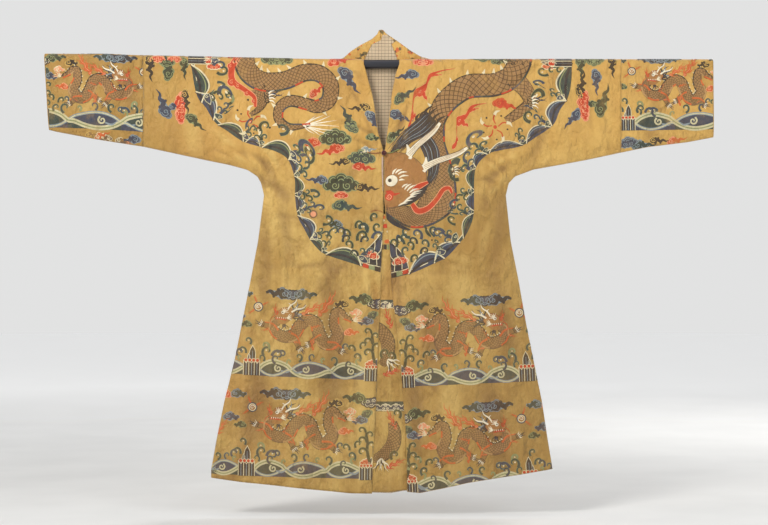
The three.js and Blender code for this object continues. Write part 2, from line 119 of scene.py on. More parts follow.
# Creases, listed one by one: from x, z to x, z, then width and depth (out is positive)
CREASES = {
    "front": [
        (-356, -262, -318, -306, 13, -2.6), (-338, -232, -296, -286, 11, 2.2),
        (-410, -268, -350, -290, 12, 2.0), (-330, -330, -268, -380, 17, -2.2),
        (-322, -372, -300, -520, 22, 1.8), (-334, -400, -330, -640, 24, -1.6),
        (-290, -410, -262, -560, 20, -1.5), (-470, -190, -400, -262, 15, 1.6),
        (-560, -60, -540, -240, 26, 1.2), (-720, -40, -700, -205, 24, -1.1),
        (-860, -30, -850, -190, 30, 1.3),
        (372, -268, 316, -322, 13, -2.6), (398, -248, 330, -288, 12, 2.2),
        (350, -332, 300, -372, 15, 2.2), (352, -372, 322, -560, 24, -1.8),
        (300, -392, 296, -560, 20, 1.5), (470, -176, 420, -286, 17, -1.4),
        (640, -60, 630, -220, 26, 1.1), (790, -60, 770, -220, 28, -1.2),
        (-330, -576, -90, -586, 9, -0.8), (60, -598, 330, -600, 9, -0.8),
        (-86, 4, -22, -88, 13, -2.2), (-60, -20, -12, -120, 10, 1.8),
        (70, -8, 92, -120, 22, 1.2), (-30, -250, -110, -330, 20, -1.2),
        (40, -300, 120, -470, 30, 1.4), (-250, -620, -300, -860, 34, 1.8),
        (-150, -640, -130, -1000, 40, -2.0), (-60, -700, -40, -1180, 26, 1.8),
        (-330, -820, -400, -1150, 36, -2.2), (-236, -900, -250, -1190, 30, 1.9),
        (120, -640, 150, -900, 36, -1.8), (236, -560, 280, -900, 40, 1.9),
        (330, -640, 390, -900, 30, -1.8), (96, -900, 104, -1200, 24, -2.4),
        (190, -860, 214, -1180, 34, 2.0), (300, -900, 350, -1170, 34, -2.2),
        (52, -1040, 60, -1215, 14, 1.8), (86, -1120, 92, -1215, 10, 1.6),
        (14, -1120, 6, -1215, 16, -1.5), (-40, -540, 0, -700, 18, 1.2),
        (-436, -235, -372, -280, 6, -1.5), (-474, -242, -404, -287, 6, -1.2),
        (-450, -262, -392, -296, 6, 1.2), (-396, -240, -350, -330, 7, -1.2),
        (-352, -300, -326, -372, 6, -1.5), (-330, -250, -300, -330, 7, -1.1),
        (282, -261, 358, -305, 6, -1.3), (307, -240, 384, -292, 6, -1.4),
        (358, -236, 410, -274, 6, -1.2), (275, -325, 345, -350, 7, -1.3),
        (300, -282, 352, -322, 6, 1.2), (262, -300, 250, -420, 10, -1.4),
        (300, -360, 290, -470, 9, -1.5), (-83, -69, -12, -226, 8, -2.0),
        (-60, -110, -16, -204, 7, 1.6), (-114, -162, -20, -204, 7, -1.8),
        (-96, -210, -24, -238, 7, -1.5), (91, -90, 36, -204, 8, -1.8),
        (70, -150, 30, -232, 7, -1.5), (-120, -262, -24, -246, 7, -1.2),
        (-26, -590, -10, -760, 9, -2.2), (-44, -600, -34, -700, 8, 1.6),
        (30, -560, 24, -700, 8, -2.0), (46, -580, 54, -760, 9, -1.6),
        (-18, -1000, -14, -1210, 9, 1.8), (-560, -30, -590, -150, 9, -1.0),
        (560, -40, 600, -180, 9, -1.0), (420, -60, 396, -170, 9, -1.0),
        (-420, -60, -436, -180, 9, -1.0), (-240, -585, -120, -562, 7, -0.9),
        (120, -560, 260, -580, 7, -0.9), (-300, -430, -200, -452, 8, -0.9),
        (200, -420, 300, -446, 8, -0.9), (-210, -330, -206, -520, 9, -0.8),
    ],
    "back": [
        (-340, -268, -296, -330, 14, 2.4), (-386, -262, -330, -292, 12, -2.0),
        (-326, -372, -300, -560, 24, 1.8), (-280, -420, -250, -600, 22, -1.4),
        (366, -270, 322, -330, 14, 2.4), (410, -266, 352, -296, 12, -2.0),
        (350, -380, 330, -560, 24, 1.8), (300, -420, 280, -620, 22, -1.4),
        (-6, -60, -6, -1180, 9, -0.9), (-200, -60, -150, -300, 34, 1.2),
        (180, -60, 150, -280, 34, 1.2), (-240, -640, -290, -960, 38, -2.0),
        (-60, -700, -70, -1190, 34, 2.0), (40, -640, 30, -1190, 30, -1.8),
        (160, -620, 190, -1000, 40, 2.0), (330, -700, 390, -1100, 34, -2.0),
        (-360, -820, -420, -1150, 32, 1.9), (-180, -900, -200, -1190, 28, 1.8),
        (240, -900, 270, -1180, 32, 1.8), (-600, -50, -590, -230, 28, 1.2),
        (620, -50, 610, -230, 28, -1.2), (-820, -40, -815, -190, 28, -1.1),
        (-440, -238, -374, -282, 7, -2.2), (-470, -250, -400, -292, 7, 1.8),
        (-352, -300, -322, -380, 8, -2.0), (300, -262, 366, -306, 7, -2.2),
        (330, -250, 396, -300, 7, -2.0), (280, -320, 346, -350, 8, 1.8),
        (-30, -120, -36, -420, 9, -1.2), (44, -160, 40, -430, 9, 1.2),
        (-120, -60, -80, -200, 8, -1.2), (120, -60, 84, -200, 8, -1.2),
        (-20, -1000, -26, -1210, 9, -1.6), (90, -980, 96, -1200, 9, 1.5),
        (800, -40, 790, -210, 28, 1.2),
    ],
}
CREASE_DEPTH = 2.1  # times the table's depths
CREASE_WANDER = 5  # how far a crease strays from its straight line
CALM_BY_FOLD, CALM_BY_SEAM = 40, 30  # creases fade out over these distances
RIPPLES = 14  # sine waves that keep the cloth from lying dead flat
RIPPLE_SEED = 7
RIPPLE_STEEPNESS = 0.0016


def lookup(rows, at):
    """Reads a table of (key, value) rows, keys rising, in straight lines."""
    keys, values = np.array(rows, float).T
    return np.interp(at, keys, values)


def pick(x, left, right):
    return np.where(np.asarray(x) < 0, left, right)


def parted_by(inset, reach):
    """Half the space between front and back, at a distance in from their seam."""
    share = np.clip(inset / reach, 0, 1)
    return SEAM_DEPTH + (HALF_DEPTH - SEAM_DEPTH) * np.sqrt(1 - (1 - share) ** 2)


def seam_inset(x, z):
    """How far in from the side or underarm seam a place is, and over what reach the cloth parts."""
    arm = pick(x, ARMPIT[LEFT], ARMPIT[RIGHT])
    seam = pick(x, lookup(SIDE_SEAM[LEFT], z), lookup(SIDE_SEAM[RIGHT], z))
    seam = np.where(z < ARMPIT_Z, seam, arm)
    body = np.hypot(x - seam, np.maximum(0, z - ARMPIT_Z))
    body = np.where((z < ARMPIT_Z) & (np.abs(x) > np.abs(seam)), 0, body)
    under = pick(x, lookup(UNDERARM[LEFT], x), lookup(UNDERARM[RIGHT], x))
    on_sleeve = (np.abs(x) > np.abs(arm)) & (z > ARMPIT_Z)
    near = np.clip(1 - np.abs(x - arm) / REACH_BODY, 0, 1)
    reach = np.where(on_sleeve, REACH_SLEEVE + (REACH_BODY - REACH_SLEEVE) * near, REACH_BODY)
    return np.where(on_sleeve, np.maximum(z - under, 0), body), reach


def folds_at(x, z, face):
    out = np.zeros_like(x)
    for at, lean, top, width, depth in FOLDS[face]:
        fallen = np.clip((top - z) / (top - FOLDS_FALL), 0, 1)
        out += depth * fallen * np.exp(-3 * ((x - at - lean * fallen) / width) ** 2)
    return out


_waves = np.random.default_rng(RIPPLE_SEED)
WAVE_LENGTH = _waves.uniform(45, 210, RIPPLES)
WAVE_TURN = _waves.uniform(-0.6, 0.6, RIPPLES)
WAVE_START = _waves.uniform(0, 2 * math.pi, (2, RIPPLES))


def creases_at(x, z, face):
    """Listed troughs and ridges, strongest at their middle, and faint ripples."""
    out = np.zeros_like(x)
    for x0, z0, x1, z1, width, depth in CREASES[face]:
        along = np.array([x1 - x0, z1 - z0], float)
        length = np.hypot(*along)
        along /= length
        t = ((x - x0) * along[0] + (z - z0) * along[1]) / length
        off = (x - x0) * along[1] - (z - z0) * along[0]
        past = np.maximum(np.maximum(-t, t - 1), 0) * length
        swell = 0.55 + 0.45 * np.sin(math.pi * np.clip(t, 0, 1))
        strayed = off + CREASE_WANDER * np.sin(3 * t)
        out += CREASE_DEPTH * depth * swell * np.exp(-(strayed**2 + past**2) / width**2)
    for k in range(RIPPLES):
        turn, size = WAVE_TURN[k], RIPPLE_STEEPNESS * WAVE_LENGTH[k]
        phase = (x * math.cos(turn) + z * math.sin(turn)) * 2 * math.pi / WAVE_LENGTH[k]
        out += size * np.sin(phase + WAVE_START[int(face == "back"), k])
    return out


def depth_at(x, z, face):
    """The middle surface's distance from the robe's middle plane."""
    inset, reach = seam_inset(x, z)
    easing = np.clip(inset / REACH_BODY, 0, 1)
    below_fold = np.clip(-z / CALM_BY_FOLD, 0, 1)
    on_body = (z < ARMPIT_Z) | (np.abs(x) < np.abs(pick(x, ARMPIT[LEFT], ARMPIT[RIGHT])))
    out = folds_at(x, z, face) * easing * on_body
    rough = creases_at(x, z, face) * below_fold * np.clip(inset / CALM_BY_SEAM, 0, 1)
    return parted_by(inset, reach) + out + rough


def fold_up(x):
    return lookup(FOLD_LINE, x)


def hang(x, z, face, out=0.0):
    """Places on the hanging front or back, moved out along the cloth's normal."""
    step = 1.0
    depth = depth_at(x, z, face)
    slope_x = (depth_at(x + step, z, face) - depth_at(x - step, z, face)) / (2 * step)
    slope_z = (depth_at(x, z + step, face) - depth_at(x, z - step, face)) / (2 * step)
    long = np.sqrt(1 + slope_x**2 + slope_z**2)
    toward = -1 if face == "front" else 1
    y = toward * (depth + out / long)
    return np.stack([x - out * slope_x / long, y, z - out * slope_z / long], -1)


def over_rod(x, angle, out=0.0):
    """Places on the fold over the rod. The angle is from straight up, positive to the front."""
    y = -(HALF_DEPTH + out) * np.sin(angle)
    return np.stack([x, y, fold_up(x) + (FOLD_RISE + out) * np.cos(angle)], -1)


ARC_LIFT = 0.35  # more clearance for what lies on the fold, where facets cut corners


def lay(x, h, out):
    """Places of the flat pattern on the hung robe."""
    down = FOLD_H - h
    arc = np.abs(down) < FOLD_H
    angle = np.clip(down / FOLD_H, -1, 1) * math.pi / 2
    points = over_rod(x, angle, out + ARC_LIFT)
    z = fold_up(x) - (np.abs(down) - FOLD_H)
    for face, here in (("front", ~arc & (down > 0)), ("back", ~arc & (down < 0))):
        if here.any():
            points[here] = hang(x[here], z[here], face, out[here])
    return points


# ---------------------------------------------------------------------------------------------
# Meshes


def new_object(name, vertices, faces):
    """A mesh object from places in millimetres."""
    mesh = bpy.data.meshes.new(name)
    faces = np.asarray(faces, np.int32)
    mesh.from_pydata((np.asarray(vertices) * MM).tolist(), [], faces.tolist())
    mesh.polygons.foreach_set("use_smooth", np.ones(len(mesh.polygons), bool))
    mesh.update()
    made = bpy.data.objects.new(name, mesh)
    bpy.context.scene.collection.objects.link(made)
    return made


def all_cells(grid):
    return np.ones((grid.shape[0] - 1, grid.shape[1] - 1), bool)


def shell(name, grid, thickness, materials, mask=None):
    """A thin closed shell on a grid of middle places, or on the mask's cells of it. Its second
    material is its inner side."""
    grid = np.array(grid)
    across = grid.shape[1]
    i, j = np.nonzero(all_cells(grid) if mask is None else mask)
    corner = i * across + j
    quads = np.stack([corner, corner + across, corner + across + 1, corner + 1], 1)
    flat = grid.reshape(-1, 3)
    a, b, c = (flat[quads[:, k]] for k in (0, 1, 3))
    facing = np.cross(b - a, c - a)
    outward = np.sum(facing * np.stack([0 * a[:, 0], a[:, 1], np.maximum(a[:, 2], 0)], 1))
    if outward < 0:
        quads = quads[:, ::-1]
    used, again = np.unique(quads, return_inverse=True)
    made = new_object(name, flat[used], again.reshape(quads.shape))
    for material in materials:
        made.data.materials.append(material)
    thick = made.modifiers.new("cloth", "SOLIDIFY")
    thick.thickness = thickness * MM
    thick.offset = 0
    thick.use_quality_normals = True
    thick.material_offset = 1 if len(materials) > 1 else 0
    return made


CELL = 7.0
NEAR_SEAM = np.array([0, 1.5, 3.5, 6, 9, 13, 18, 24])  # rows and columns beside a seam
SKIRT_LENGTH, UPPER_SLEEVE, HALF_WIDTH, END_LENGTH, GORE_LENGTH = 850, 344, 400, 280, 790
GORE_CELL, GORE_ROW = 6, 22


def shares(length, cell=CELL, start=(), end=()):
    """Shares from 0 to 1 at about the cell's size, closer at either end where asked."""
    low = np.array(start) / length if len(start) else np.array([0.0])
    high = 1 - np.array(end)[::-1] / length if len(end) else np.array([1.0])
    middle = np.linspace(low[-1], high[0], max(2, round((high[0] - low[-1]) * length / cell) + 1))
    return np.concatenate([low[:-1], middle, high[1:]])


UPPER_SHARES = shares(-ARMPIT_Z, end=NEAR_SEAM)[1:]
SKIRT_SHARES = shares(SKIRT_LENGTH)[1:]
ARC_ANGLES = np.linspace(-1, 1, 19) * math.pi / 2


def row_list(with_skirt):
    """The rows from the back's foot over the rod to the front's: part, share or angle, face."""
    falls = [("upper", share) for share in UPPER_SHARES]
    if with_skirt:
        falls += [("skirt", share) for share in SKIRT_SHARES]
    back = [(part, share, "back") for part, share in reversed(falls)]
    arc = [("arc", angle, "front" if angle > 0 else "back") for angle in ARC_ANGLES]
    return back + arc + [(part, share, "front") for part, share in falls]


def sleeve_row(side, xs, row):
    part, at, face = row
    if part == "arc":
        return over_rod(xs, np.full_like(xs, at))
    top = fold_up(xs)
    return hang(xs, top + (lookup(UNDERARM[side], xs) - top) * at, face)


def body_row(side, across, back_across, row):
    """One row of a body half: from the armhole or side seam to the front edge or back seam."""
    part, at, face = row
    start = ARMPIT[side]
    if part == "skirt":
        side_z = ARMPIT_Z + (lookup(HEM, HEM_END[side]) - ARMPIT_Z) * at
        edge_z = ARMPIT_Z + (lookup(HEM, 0) - ARMPIT_Z) * at
        start = lookup(SIDE_SEAM[side], side_z)
    else:
        edge_z = 0 if part == "arc" else ARMPIT_Z * at
    end = lookup(FRONT_EDGE[side], edge_z) if face == "front" else NECK[side]
    xs = start + (end - start) * across
    seam = GAP / 2 * OUTWARD[side]
    xs = np.concatenate([xs, xs[-1] + (seam - xs[-1]) * back_across[1:]])
    if part == "arc":
        return over_rod(xs, np.full_like(xs, at))
    bottom = ARMPIT_Z if part == "upper" else lookup(HEM, xs)
    top = fold_up(xs) if part == "upper" else ARMPIT_Z
    return hang(xs, top + (bottom - top) * at, face)


def body_half(side, name, materials):
    """Front, back and upper sleeve of one side, in one sheet over the rod."""
    rows = row_list(True)
    sleeve = SLEEVE_SEAM[side] + (ARMPIT[side] - SLEEVE_SEAM[side]) * shares(UPPER_SLEEVE, end=NEAR_SEAM)
    across = shares(HALF_WIDTH, start=NEAR_SEAM)
    back_across = np.linspace(0, 1, 8)
    grid = []
    for row in rows:
        if row[0] == "skirt":
            outer = np.zeros((len(sleeve) - 1, 3))
        else:
            outer = sleeve_row(side, sleeve[:-1], row)
        grid.append(np.concatenate([outer, body_row(side, across, back_across, row)]))
    grid = np.array(grid)
    mask = all_cells(grid)
    skirt = len(SKIRT_SHARES)
    mask[:skirt, : len(sleeve) - 1] = False
    mask[len(rows) - 1 - skirt :, : len(sleeve) - 1] = False
    neck_row = next(k for k, row in enumerate(rows) if row[0] == "arc")
    mask[neck_row:, len(sleeve) - 1 + len(across) - 1 :] = False
    return shell(name, grid, SHELL, materials, mask)


def sleeve_end(side, name, materials):
    rows = row_list(False)
    start = SLEEVE_SEAM[side] + OUTWARD[side] * GAP
    across = shares(END_LENGTH)
    grid = []
    for row in rows:
        pull = 0 if row[0] == "arc" else row[1]
        end = CUFF_TOP[side] + CUFF_PULL[side] * pull
        grid.append(sleeve_row(side, start + (end - start) * across, row))
    return shell(name, grid, SHELL, materials)


def gore_edges(z):
    left = lookup(FRONT_EDGE[LEFT], z) - lookup(GORE_LAP[LEFT], z)
    return left, lookup(FRONT_EDGE[RIGHT], z) + lookup(GORE_LAP[RIGHT], z)


def front_gore(name, materials):
    grid = []
    for share in shares(GORE_LENGTH, GORE_CELL):
        level = GORE_TOP + (lookup(HEM, 0) - GORE_TOP) * share
        left, right = gore_edges(level)
        xs = np.linspace(left, right, GORE_ROW)
        z = GORE_TOP + (lookup(HEM, xs) + GORE_SHORT - GORE_TOP) * share
        grid.append(hang(xs, z, "front", -(CLOTH + GORE_BEHIND)))
    return shell(name, grid, SHELL, materials)


def lean_at(z):
    return COLLAR_LEAN * np.maximum(0, z)


def collar_y(z):
    return HALF_DEPTH + lean_at(z)


def lining_y(x, z):
    """Just inside the back or the collar, which it follows."""
    depth = np.where(z < 0, depth_at(x, z, "back"), collar_y(z))
    return depth - CLOTH / 2 - GAP - LINING / 2


LINING_SHELL = LINING * 0.8
LINING_INSET, OVER_FACINGS = 1.2, 1.2  # in from its sides above the rod, and out before the facings


def collar(name, materials):
    xs = np.linspace(COLLAR_TOP[0][0], COLLAR_TOP[-1][0], 58)
    xs = np.unique([*xs, NECK[LEFT] + GAP, NECK[RIGHT] - GAP])
    top = np.interp(xs, *np.array(COLLAR_TOP).T)
    levels = [np.full_like(xs, GAP / 2)]
    levels += [COLLAR_BASE + (top - COLLAR_BASE) * share for share in np.linspace(0, 1, 16)]
    grid = np.array([np.stack([xs, collar_y(z), z], -1) for z in levels])
    mask = all_cells(grid)
    middle = (xs[:-1] > NECK[LEFT]) & (xs[1:] < NECK[RIGHT])
    mask[0, ~middle] = False
    return shell(name, grid, SHELL, materials, mask)


def facing(side, name, materials):
    """The collar's silk turned in along one slope."""
    outward = OUTWARD[side]
    (low_z, low_x), (high_z, high_x) = FACING_EDGE[side]
    start = COLLAR_MIDDLE + outward * GAP / 2
    xs = np.linspace(start, FACING_END[side], 34)
    share = np.clip((xs - low_x) / (high_x - low_x), 0, 1)
    base = np.where(outward * (xs - low_x) > 0, FACING_BASE, low_z + (high_z - low_z) * share)
    top = np.interp(xs, *np.array(COLLAR_TOP).T) - FACING_SHORT
    grid = []
    for up in np.linspace(0, 1, 14):
        z = base + (top - base) * up
        grid.append(np.stack([xs, lining_y(xs, z), z], -1))
    return shell(name, grid, LINING_SHELL, materials)


def neck_lining(name, materials):
    """The lining that the open neck shows. Above the rod it lies before the facings' edges."""
    grid = []
    for z in np.concatenate([np.linspace(86, 62, 7), np.linspace(59, 0, 12), np.linspace(-6, -560, 90)]):
        left, right = (lookup(LINING_WIDTH[side], z) for side in (LEFT, RIGHT))
        inset = LINING_INSET if z >= 0 else 0
        xs = np.linspace(left + inset, right - inset, 26)
        zs = np.full_like(xs, z)
        over_facings = OVER_FACINGS * np.clip((z - 50) / 9, 0, 1)
        grid.append(np.stack([xs, lining_y(xs, zs) - over_facings, zs], -1))
    return shell(name, grid, LINING_SHELL, materials)


# ---------------------------------------------------------------------------------------------
# The pattern kit: flat shapes of curves, laid on the cloth in thin layers

PALETTE = {  # sRGB, 0 to 255
    "navy": (24, 30, 42), "slate": (44, 58, 80), "sky": (128, 144, 150), "teal": (38, 62, 60),
    "green": (36, 52, 38), "leaf": (136, 144, 98), "cream": (226, 212, 172),
    "white": (240, 230, 204), "coral": (194, 50, 22), "ember": (202, 92, 40),
    "rose": (230, 152, 112), "brown": (120, 88, 58), "lattice": (178, 138, 88),
    "foam": (200, 192, 152), "scale": (156, 117, 72), "umber": (84, 57, 34),
    "taupe": (140, 104, 58), "tan": (162, 110, 58), "dark": (40, 32, 28),
    "gold": (206, 168, 90), "blood": (122, 42, 34), "lilac": (178, 154, 144),
}
STEP, ACROSS = 4.5, 7.0  # along a curve, and across it
SPINE_STEP = 4  # along a curve that a pen is bent to
LIFT, LAYER = 0.2, 0.075  # the lowest layer above the cloth, and from layer to layer
SLIVER = 0.02  # square millimetres


def srgb(r, g, b):
    c = np.array([r, g, b]) / 255
    return (*np.where(c <= 0.04045, c / 12.92, ((c + 0.055) / 1.055) ** 2.4).tolist(), 1.0)


def smooth(rows, step):
    """Rows at about an even step along a smooth curve through the given ones."""
    rows = np.array(rows, float)
    ends = np.vstack([2 * rows[0] - rows[1], rows, 2 * rows[-1] - rows[-2]])
    parts = []
    for p0, p1, p2, p3 in zip(ends, ends[1:], ends[2:], ends[3:]):
        count = max(2, int(math.dist(p1[:2], p2[:2]) / step) + 1)
        t = np.linspace(0, 1, count, endpoint=False)[:, None]
        bend = (2 * p0 - 5 * p1 + 4 * p2 - p3) * t * t + (3 * p1 - p0 - 3 * p2 + p3) * t**3
        parts.append(0.5 * (2 * p1 + (p2 - p0) * t + bend))
    return np.vstack([*parts, rows[-1:]])


def sides_of(line):
    along = np.gradient(line[:, :2], axis=0)
    along /= np.maximum(np.hypot(*along.T), 1e-9)[:, None]
    return np.stack([-along[:, 1], along[:, 0]], 1)


def run_of(line):
    """The length along a line to each of its rows."""
    return np.concatenate([[0], np.cumsum(np.hypot(*np.diff(line[:, :2], axis=0).T))])


def grown(rows, r):
    """Rows of a motif at its size."""
    return [tuple(value * r for value in row) for row in rows]


def widened(rows, more):
    return [(x, y, width + more) for x, y, width in rows]


class Pen:
    """Draws in its own flat frame. Every frame shares one list of patches."""

    def __init__(self, patches, place=None, size=1.0):
        self.patches, self.size = patches, size
        self.place = place or (lambda points: points)

    def moved(self, x=0, y=0, turn=0, size=1, flip=False):
        """A pen whose origin is at x, y, turned by degrees, scaled, and mirrored across its x."""
        c, s = math.cos(math.radians(turn)), math.sin(math.radians(turn))
        matrix = np.array([[c, s], [-s, c]]) * size
        if flip:
            matrix[0] *= -1
        old = self.place
        return Pen(self.patches, lambda p: old(p @ matrix + (x, y)), self.size * size)

    def bent(self, curve):
        """A pen whose x runs along a curve and whose y is off to the curve's left."""
        line = smooth(curve, SPINE_STEP)
        side = sides_of(line)
        run = run_of(line)
        old = self.place

        def place(p):
            at = [np.interp(p[..., 0], run, column) for column in (*line.T, *side.T)]
            return old(np.stack([at[0] + p[..., 1] * at[2], at[1] + p[..., 1] * at[3]], -1))

        made = Pen(self.patches, place, self.size)
        made.length = run[-1]
        return made

    def patch(self, grid, tint, layer):
        self.patches.append((self.place(np.asarray(grid, float)), tint, layer))

    def ribbon(self, rows, tint, layer):
        """A band of changing width: rows of x, y, width."""
        line = smooth(rows, STEP / self.size)
        count = max(1, round(line[:, 2].max() * self.size / ACROSS))
        off = line[:, 2:] * np.linspace(-0.5, 0.5, count + 1)
        self.patch(line[:, None, :2] + sides_of(line)[:, None] * off[..., None], tint, layer)

    def between(self, low, high, tint, layer):
        """Fills from one curve to another."""
        low, high = (smooth(rows, STEP / self.size) for rows in (low, high))
        count = max(len(low), len(high))
        t = np.linspace(0, 1, count)
        low, high = (
            np.stack([np.interp(t, np.linspace(0, 1, len(c)), c[:, k]) for k in (0, 1)], 1)
            for c in (low, high)
        )
        wide = np.hypot(*(high - low).T).max() * self.size
        share = np.linspace(0, 1, max(1, round(wide / ACROSS)) + 1)[None, :, None]
        self.patch(low[:, None] * (1 - share) + high[:, None] * share, tint, layer)

    def disc(self, x, y, rx, tint, layer, ry=None, turn=0):
        ry = rx if ry is None else ry
        around = max(9, round(2 * math.pi * rx * self.size / STEP))
        angles = np.linspace(0, 2 * math.pi, around + 1)
        rings = np.linspace(0.01, 1, max(1, round(rx * self.size / ACROSS)) + 1)[:, None]
        u, v = rx * rings * np.cos(angles), ry * rings * np.sin(angles)
        c, s = math.cos(math.radians(turn)), math.sin(math.radians(turn))
        self.patch(np.stack([x + c * u - s * v, y + s * u + c * v], -1), tint, layer)

    def spiral(self, x, y, r, tint, layer, width, turns=1.4, start=0, way=1):
        rows = []
        for t in np.linspace(0, 1, max(6, round(8 * turns))):
            angle = math.radians(start) + way * t * turns * 2 * math.pi
            out = r * (1 - 0.86 * t)
            rows.append((x + out * math.cos(angle), y + out * math.sin(angle), width * (1 - 0.4 * t)))
        self.ribbon(rows, tint, layer)

    def arc(self, x, y, r, start, end, tint, layer, width):
        """Part of a ring, from one angle to another in degrees."""
        rows = [(x + r * math.cos(a), y + r * math.sin(a), width)
                for a in np.radians(np.linspace(start, end, 6))]
        self.ribbon(rows, tint, layer)


# Motifs. Each is drawn about its own origin, at a size r


def curl(pen, r, tint, ball="cream"):
    """A hook of spray with a drop in it."""
    rows = [(0, 0, 0.5), (-0.24, 0.6, 0.44), (-0.12, 1.25, 0.38), (0.4, 1.64, 0.34),
            (0.94, 1.46, 0.3), (1.08, 0.98, 0.26), (0.78, 0.74, 0.1)]
    pen.ribbon(widened(grown(rows, r), 2), "leaf", 3)
    pen.ribbon(grown(rows, r), tint, 4)
    if ball:
        pen.disc(0.42 * r, 1.06 * r, 0.17 * r, ball, 5)


def spray(pen, r, tint):
    """A branch of spray with three hooks."""
    stem = [(0, 0, 0.8), (-0.22, 0.8, 0.62), (0.12, 1.7, 0.46)]
    pen.ribbon(grown(stem, r), tint, 3)
    curl(pen.moved(0.1 * r, 1.5 * r, 6), 0.9 * r, tint)
    curl(pen.moved(-0.1 * r, 0.7 * r, 44, 1, True), 0.76 * r, "teal")
    curl(pen.moved(0.1 * r, 0.6 * r, -50), 0.76 * r, tint)


def wisp(pen, r, tint, bends):
    """A cloud's wavy tail, towards +x."""
    rows = [(0, 0, 0.9), (0.5, 0.2, 0.66), (1.0, -0.16, 0.56), (1.55, 0.2, 0.44),
            (2.1, -0.1, 0.3), (2.9, 0.16, 0.04)][: 4 + bends]
    pen.ribbon(grown(rows, r), tint, 2)
    pen.disc(0.55 * r, 0.5 * r, 0.24 * r, tint, 2)
    pen.disc(1.05 * r, -0.44 * r, 0.18 * r, tint, 2)


def scrolls(pen, r, lobes, tint, light):
    """Lobes of cloud, each with a line just inside its edge: x, y, size, the way it faces."""
    width = max(0.075 * r, 1.8 / pen.size)
    for x, y, size, faces in lobes:
        pen.disc(x * r, y * r, size * r, tint, 2)
        if faces is not None and size * r * pen.size > 5:
            pen.arc(x * r, y * r, 0.72 * size * r, faces - 75, faces + 75, light, 3, width)


def ruyi(pen, r, tint, light="leaf", edge=None):
    """The broad head of a cloud, with two scrolls that face each other."""
    lobes = [(0, 0.34, 0.44, 90), (-0.56, 0.2, 0.38, 130), (0.56, 0.2, 0.38, 50),
             (-1.0, -0.1, 0.34, 180), (1.0, -0.1, 0.34, 0), (-0.5, -0.22, 0.34, None),
             (0.5, -0.22, 0.34, None), (0, -0.08, 0.46, None)]
    if edge:
        for x, y, size, _ in lobes:
            pen.disc(x * r, y * r, size * r + 2.4 / pen.size, edge, 1)
    scrolls(pen, r, lobes, tint, light)
    width = max(0.08 * r, 1.8 / pen.size)
    for way in (-1, 1):
        pen.spiral(way * 0.44 * r, -0.12 * r, 0.3 * r, light, 4, width, 1.4, 90 + way * 60, way)
    pen.arc(0, 0.16 * r, 0.22 * r, 20, 160, light, 4, width)


def drift(pen, r, tint, light="leaf", bends=2):
    """A small cloud with one scroll and a tail towards +x."""
    lobes = [(0, 0, 0.62, 150), (-0.52, -0.2, 0.4, 200), (0.36, 0.42, 0.38, 80),
             (0.28, -0.36, 0.36, None), (0.8, 0.1, 0.3, None)]
    for x, y, size, _ in lobes:
        pen.disc(x * r, y * r, size * r + 1.7 / pen.size, light, 1)
    pen.ribbon([(0.3 * r, -0.1 * r, 0.9 * r + 3), (1.2 * r, -0.1 * r, 0.6 * r + 3),
                (2.0 * r, 0, 0.3 * r + 2)], light, 0)
    scrolls(pen, r, lobes, tint, light)
    wisp(pen.moved(0.3 * r, -0.1 * r), r, tint, bends)
    pen.spiral(0.04 * r, -0.02 * r, 0.32 * r, light, 4, max(0.1 * r, 1.8 / pen.size), 1.2, 200)


def blaze(pen, curve, width):
    """A long wavering flame along a curve, with three tongues and two small scrolls."""
    line = pen.bent([(x, y, 0) for x, y in curve])
    rows = []
    for u, w in ((0, 0.3), (0.12, 0.7), (0.24, 1), (0.36, 0.85), (0.48, 1), (0.6, 0.7), (0.72, 0.8),
                 (0.84, 0.5), (0.93, 0.3), (1, 0.03)):
        sway = 0.5 * width * (1 - 0.6 * u) * math.sin(math.tau * 2.1 * u)
        rows.append((u * line.length, sway, w * width))
    shapes = [rows]
    for u, size in ((0.2, 1.25), (0.46, 1.1), (0.72, 0.8)):
        tongue = [(-0.2, -0.1, 0.4), (0.1, 0.5, 0.5), (0.5, 0.8, 0.4), (0.65, 1.25, 0.32),
                  (1.05, 1.5, 0.22), (1.25, 2.0, 0.03)]
        shapes.append([(u * line.length + x * size * width, y * size * width, w * size * width)
                       for x, y, w in tongue])
    for shape in shapes:
        line.ribbon(widened(shape, 2.4), "rose", 3)
        line.ribbon(shape, "coral", 4)
    for u in (0.2, 0.46):
        line.spiral(u * line.length, 0.1 * width, 0.24 * width, "rose", 5, 2, 1.2, 200)


